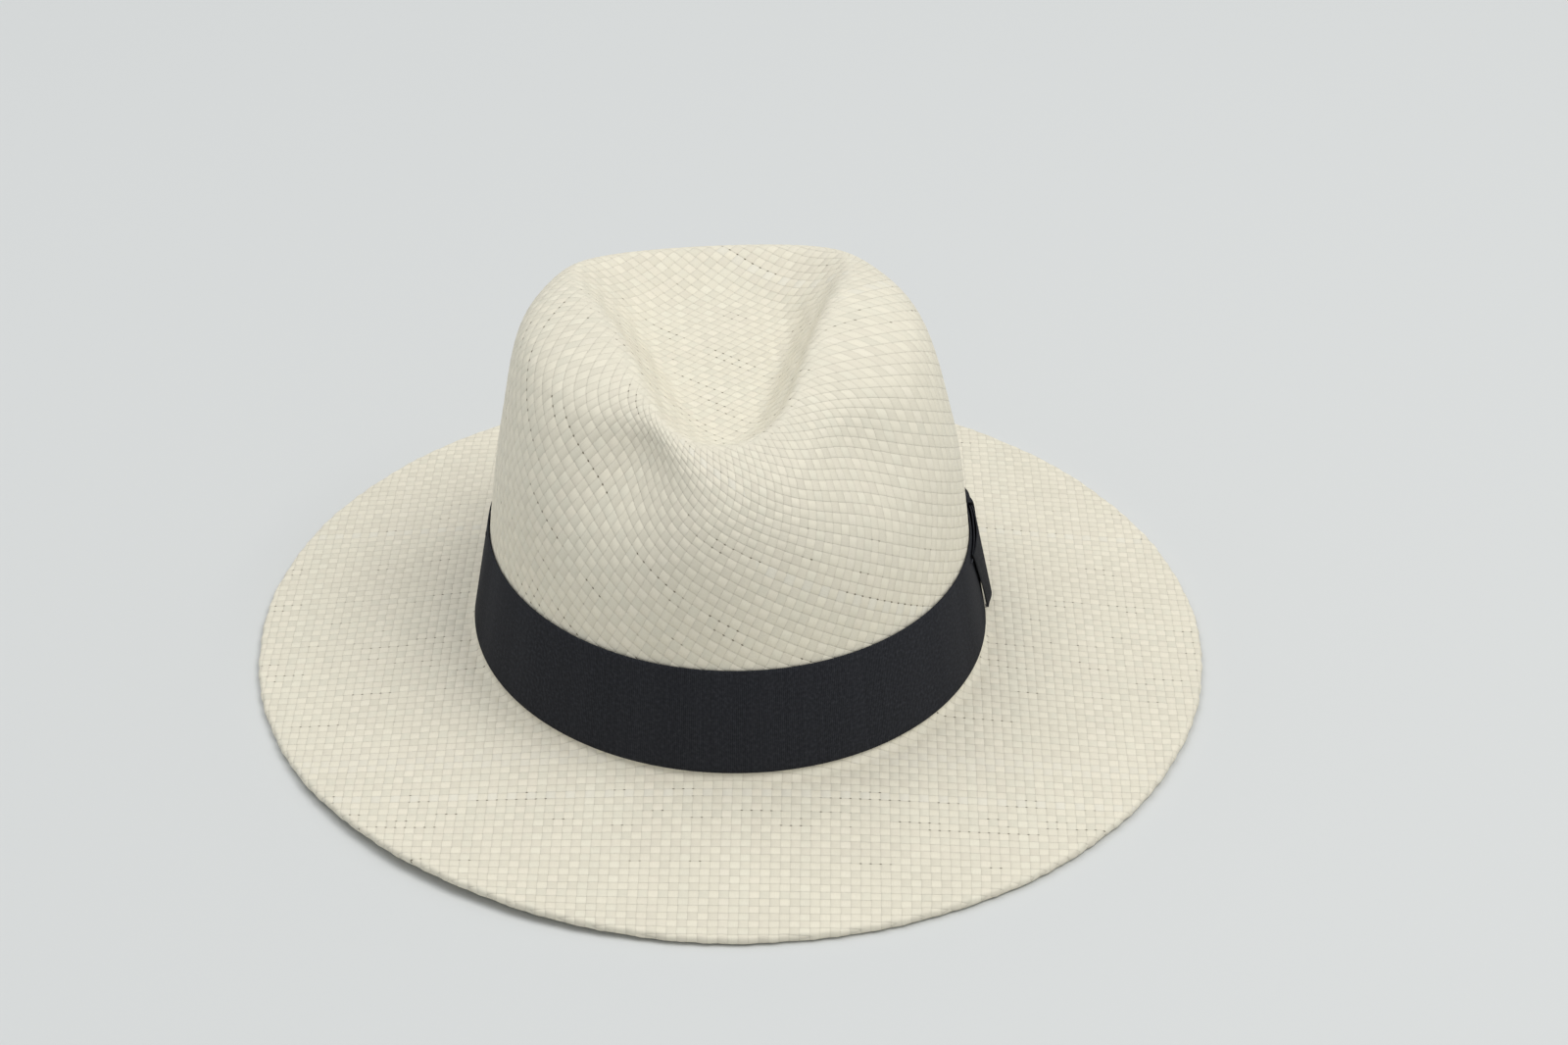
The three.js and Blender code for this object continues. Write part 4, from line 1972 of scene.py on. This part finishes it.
@dataclass(frozen=True)
class SizeLabel:
    """A blank folded tape sewn to the sweatband at the back, with a free flap."""

    form: HatForm
    width: float
    top: float
    fold: float
    bottom: float
    flap_y: float
    thickness: float = 0.4 * MM

    def build(self, inside: float) -> bpy.types.Object:
        """Makes the tape as one strip, from its sewn edge over its fold to the flap's end.

        Args:
            inside: offset of the face that the tape is sewn to.

        Returns:
            The tape, without a material.
        """
        columns, rows = 44, 40
        half = self.thickness / 2
        sewn_y = float(self.form.wall(np.array(math.pi), np.array(inside - half), np.array(self.top))[1])
        levels = np.linspace(self.top, self.bottom, rows)
        share = np.clip((self.top - levels) / (self.top - self.fold + 1.2 * MM), 0, 1)
        middle = sewn_y + (self.flap_y - sewn_y) * share ** 2
        wave = 0.12 * MM * np.sin((self.top - levels) / (self.top - self.bottom) * math.pi * 1.5)
        outline = np.vstack([np.stack([middle + wave - half, levels], -1),
                             np.stack([middle + wave + half, levels], -1)[::-1],
                             [[middle[0] + wave[0] - half, levels[0]]]])
        count = len(outline) - 1
        lengths = section_lengths(outline)

        def place(u: np.ndarray, v: np.ndarray) -> np.ndarray:
            """Lays the outline across the tape.

            Args:
                u: share of the way round, from 0 to 1.
                v: share of the way along the section, from 0 to 1.

            Returns:
                The points.
            """
            y, z = outline[np.round(v * count).astype(int)].T
            x = (u - 0.5) * self.width
            curve = -x ** 2 / (2 * 0.085) * np.clip((z - self.fold) / (self.top - self.fold), 0, 1)
            return np.stack([x, y + curve * 0.8, z], -1)

        def chart(u: np.ndarray, v: np.ndarray) -> np.ndarray:
            """Charts the tape in metres.

            Args:
                u: share of the way round, from 0 to 1.
                v: share of the way along the section, from 0 to 1.

            Returns:
                Distances across and along the tape.
            """
            return np.stack([u * self.width, lengths[np.round(v * count).astype(int)]], -1)

        obj = shaped_grid("size_label", columns, count, place, {"ribbon": chart})
        edit(obj, lambda: bpy.ops.mesh.select_all(action="DESELECT"),
             lambda: bpy.ops.mesh.select_non_manifold(),
             lambda: bpy.ops.mesh.fill_holes(sides=0))
        face_outward(obj)
        smooth(obj, 50)
        return obj


class HatBuilder:
    """Builds every piece of the hat in order."""

    SWEATBAND = 0.9 * MM             # thickness of the sweatband's cloth
    THREAD = 0.5 * MM
    CROWN_SEAM_HEIGHT = 25.8 * MM
    SWEATBAND_SEAM_HEIGHT = 14.5 * MM
    SWEATBAND_STITCHES = 150
    JOIN_ANGLE = math.radians(160)
    JOIN_STITCHES = 16
    LABEL_STITCHES = 8
    TACK_LENGTH = 2.4 * MM
    TACK_THICKNESS = 0.45 * MM
    TACK_STEP = 1.5 * MM             # how far beyond the bow's ends its tacks are
    TACK_MARGIN = 2.0 * MM           # how far in from the bow's upper and lower edges they are

    def __init__(self, finishes: Finishes) -> None:
        """Keeps the finishes and takes the form from the frame.

        Args:
            finishes: the materials.
        """
        self.finishes = finishes
        self.form = HatForm.from_frame()
        LOG.info("form: %s", self.form)

    def straw(self) -> None:
        """Builds the crown, the brim and the wire."""
        CrownShell(self.form, CrownForm(self.form, Pinches())).build(self.finishes)
        BrimShell(self.form).build(self.finishes)
        finish_piece(brim_wire(self.form), self.finishes.wire, Slot.WIRE, ["brim_wire"])

    def seams(self) -> None:
        """Builds the threads of the crown seam and the sweatband."""
        form = self.form
        offset = (form.band_inner + form.crown_outer) / 2
        thread = thread_ring(form, "crown_seam_thread", offset, self.CROWN_SEAM_HEIGHT, self.THREAD)
        finish_piece(thread, self.finishes.cream_thread, Slot.CREAM_THREAD, ["crown_seam_thread"])
        inside = form.sweatband_outer - self.SWEATBAND
        row = StitchRow("sweatband_stitches", inside - 0.45 * MM, self.SWEATBAND_SEAM_HEIGHT,
                        self.SWEATBAND_STITCHES)
        finish_piece(row.build(form), self.finishes.cream_thread, Slot.CREAM_THREAD,
                     ["sweatband_seam_thread"])
        low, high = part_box("sweatband_join_thread")
        source = stitch("stitch_model", 1.6 * MM, 0.45 * MM)
        count = self.JOIN_STITCHES
        pieces = []
        for index in range(count):
            height = low.z + (index + 0.5) * (high.z - low.z) / count
            lean = 0.5 if index % 2 else -0.5
            pieces.append(mapped_copy(source, f"join_{index}", lambda co: point_on_wall(
                form, self.JOIN_ANGLE + co.x / form.half_width, inside - 0.35 * MM - co.z,
                height + co.y + lean * co.x)))
        bpy.data.objects.remove(source)
        finish_piece(joined("sweatband_join_stitches", pieces), self.finishes.cream_thread,
                     Slot.CREAM_THREAD, ["sweatband_join_thread"])

    def bands(self) -> None:
        """Builds the ribbon and the sweatband."""
        form = self.form
        ribbon = Band("hatband", 0.0, form.band_inner, form.band_bottom, form.band_top,
                      columns=1680, rows=18, rib=0.05 * MM).build(form)
        finish_piece(ribbon, self.finishes.ribbon, Slot.RIBBON, ["hatband"])
        middle = (form.band_bottom + form.band_top) / 2
        form.girth(0.0, middle)
        low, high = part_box("sweatband")
        outer = form.sweatband_outer
        band = Band("sweatband", outer, outer - self.SWEATBAND, low.z, high.z, columns=360,
                    rows=22).build(form)
        finish_piece(band, self.finishes.sweat_cloth, Slot.SWEAT_CLOTH, ["sweatband"])
        form.girth(outer, (low.z + high.z) / 2)

    def bow(self) -> None:
        """Builds the bow and the tacks that hold it."""
        bow = Bow(self.form)
        loops, knot = bow.build(self.finishes)
        reach = bow.half_length + self.TACK_STEP
        upper = bow.bottom + bow.height - self.TACK_MARGIN
        lower = bow.bottom + self.TACK_MARGIN
        places = {
            "bow_tack_front_upper": (-reach, upper),
            "bow_tack_front_lower": (-reach, lower),
            "bow_tack_rear_upper": (reach, upper),
            "bow_tack_rear_lower": (reach, lower),
        }
        source = stitch("stitch_model", self.TACK_LENGTH, self.TACK_THICKNESS)
        for name, (along, height) in places.items():
            piece = mapped_copy(source, f"{name}_thread", lambda co: tuple(bow.lay(
                np.array(along + co.x), np.array(self.TACK_THICKNESS + co.z),
                np.array(height + co.y))))
            face_outward(piece)
            smooth(piece)
            finish_piece(piece, self.finishes.navy_thread, Slot.NAVY_THREAD, [name])
        for name, degrees in (("hatband_tack_rear", 180), ("hatband_tack_right", -90)):
            piece = mapped_copy(source, f"{name}_thread", lambda co: point_on_wall(
                self.form, math.radians(degrees) + co.y / self.form.half_length,
                0.5 * MM + co.z, self.form.band_top + co.x))
            face_outward(piece)
            smooth(piece)
            finish_piece(piece, self.finishes.navy_thread, Slot.NAVY_THREAD, [name])
        bpy.data.objects.remove(source)

    def label(self) -> None:
        """Builds the blank size label, bending from its sewn edge to its flap."""
        form = self.form
        sewn_low, sewn_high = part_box("size_label_sewn_edge")
        flap_low, flap_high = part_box("size_label_flap")
        inside = form.sweatband_outer - self.SWEATBAND - form.gap
        tape = SizeLabel(form, flap_high.x - flap_low.x, sewn_high.z, sewn_low.z, flap_low.z,
                         (flap_low.y + flap_high.y) / 2).build(inside)
        finish_piece(tape, self.finishes.label_tape, Slot.LABEL_TAPE,
                     ["size_label_sewn_edge", "size_label_flap"], body=None)
        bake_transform(tape)
        low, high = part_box("size_label_stitch")
        source = stitch("stitch_model", 1.7 * MM, 0.4 * MM)
        count = self.LABEL_STITCHES
        pieces = []
        for index in range(count):
            x = low.x + (index + 0.5) * (high.x - low.x) / count
            pieces.append(mapped_copy(source, f"label_{index}", lambda co: point_on_wall(
                form, math.pi - (x + co.x) / form.half_width, inside - 0.55 * MM - co.z,
                (low.z + high.z) / 2 + co.y)))
        bpy.data.objects.remove(source)
        finish_piece(joined("size_label_stitches", pieces), self.finishes.cream_thread,
                     Slot.CREAM_THREAD, ["size_label_stitch"])


# ---------------------------------------------------------------------------------------------
# Stage
# ---------------------------------------------------------------------------------------------


@dataclass(frozen=True)
class Studio:
    """Floor, soft light and camera."""

    target: Vector = Vector((0.0191, -0.0010, 0.0466))
    distance: float = 1.2413
    azimuth: float = math.radians(-6.45)
    elevation: float = math.radians(30.57)
    lens: float = 81.7
    floor_size: float = 30.0
    floor_drop: float = 0.3 * MM
    sky: float = 0.50

    def floor(self) -> None:
        """Adds a pale plain floor."""
        deselect()
        bpy.ops.mesh.primitive_plane_add(size=self.floor_size, location=(0, 0, -self.floor_drop))
        floor = bpy.context.active_object
        floor.name = "floor"
        material, bench, shader = new_material("floor_paper")
        cloud = bench.noise(bench.node("ShaderNodeTexCoord").outputs["Object"], 0.6)
        bench.feed(shader.inputs["Base Color"], bench.mix_colour(
            cloud, (0.66, 0.675, 0.67, 1.0), (0.70, 0.715, 0.71, 1.0)))
        shader.inputs["Roughness"].default_value = 0.95
        below = bench.node("ShaderNodeNewGeometry").outputs["Backfacing"]
        bench.feed(shader.inputs["Alpha"], bench.math("SUBTRACT", 1.0, below))
        floor.data.materials.append(material)

    def lights(self) -> None:
        """Adds an even sky and two large soft lamps."""
        world = bpy.data.worlds.new("studio")
        bpy.context.scene.world = world
        world.use_nodes = True
        background = next(n for n in world.node_tree.nodes if n.type == "BACKGROUND")
        background.inputs[0].default_value = (0.96, 0.98, 1.0, 1.0)
        background.inputs[1].default_value = self.sky
        for name, place, power, size, colour in (
                ("key", (1.3, -0.5, 2.6), 36.0, 1.6, (1.0, 0.99, 0.97)),
                ("top", (-0.9, 0.9, 2.6), 22.0, 2.0, (0.985, 0.99, 1.0))):
            deselect()
            bpy.ops.object.light_add(type="AREA", location=place)
            lamp = bpy.context.active_object
            lamp.name = name
            lamp.data.energy = power
            lamp.data.size = size
            lamp.data.color = colour
            aim = Vector((0, 0, 0.05)) - Vector(place)
            lamp.rotation_euler = aim.to_track_quat("-Z", "Y").to_euler()

    def camera(self) -> None:
        """Adds the camera."""
        level = self.distance * math.cos(self.elevation)
        place = self.target + Vector((level * math.sin(self.azimuth),
                                      -level * math.cos(self.azimuth),
                                      self.distance * math.sin(self.elevation)))
        deselect()
        bpy.ops.object.camera_add(location=place)
        camera = bpy.context.active_object
        camera.rotation_euler = (self.target - place).to_track_quat("-Z", "Y").to_euler()
        camera.data.lens = self.lens
        camera.data.sensor_width = 36
        camera.data.clip_start = 0.01
        bpy.context.scene.camera = camera


def main() -> None:
    """Builds the hat and its stage."""
    logging.basicConfig(level=logging.INFO)
    hat = HatBuilder(Finishes.build())
    hat.straw()
    hat.seams()
    hat.bands()
    hat.bow()
    hat.label()
    studio = Studio()
    studio.floor()
    studio.lights()
    studio.camera()
    bpy.context.scene.view_settings.view_transform = "Standard"
    bpy.context.view_layer.update()


if __name__ == "__main__":
    main()
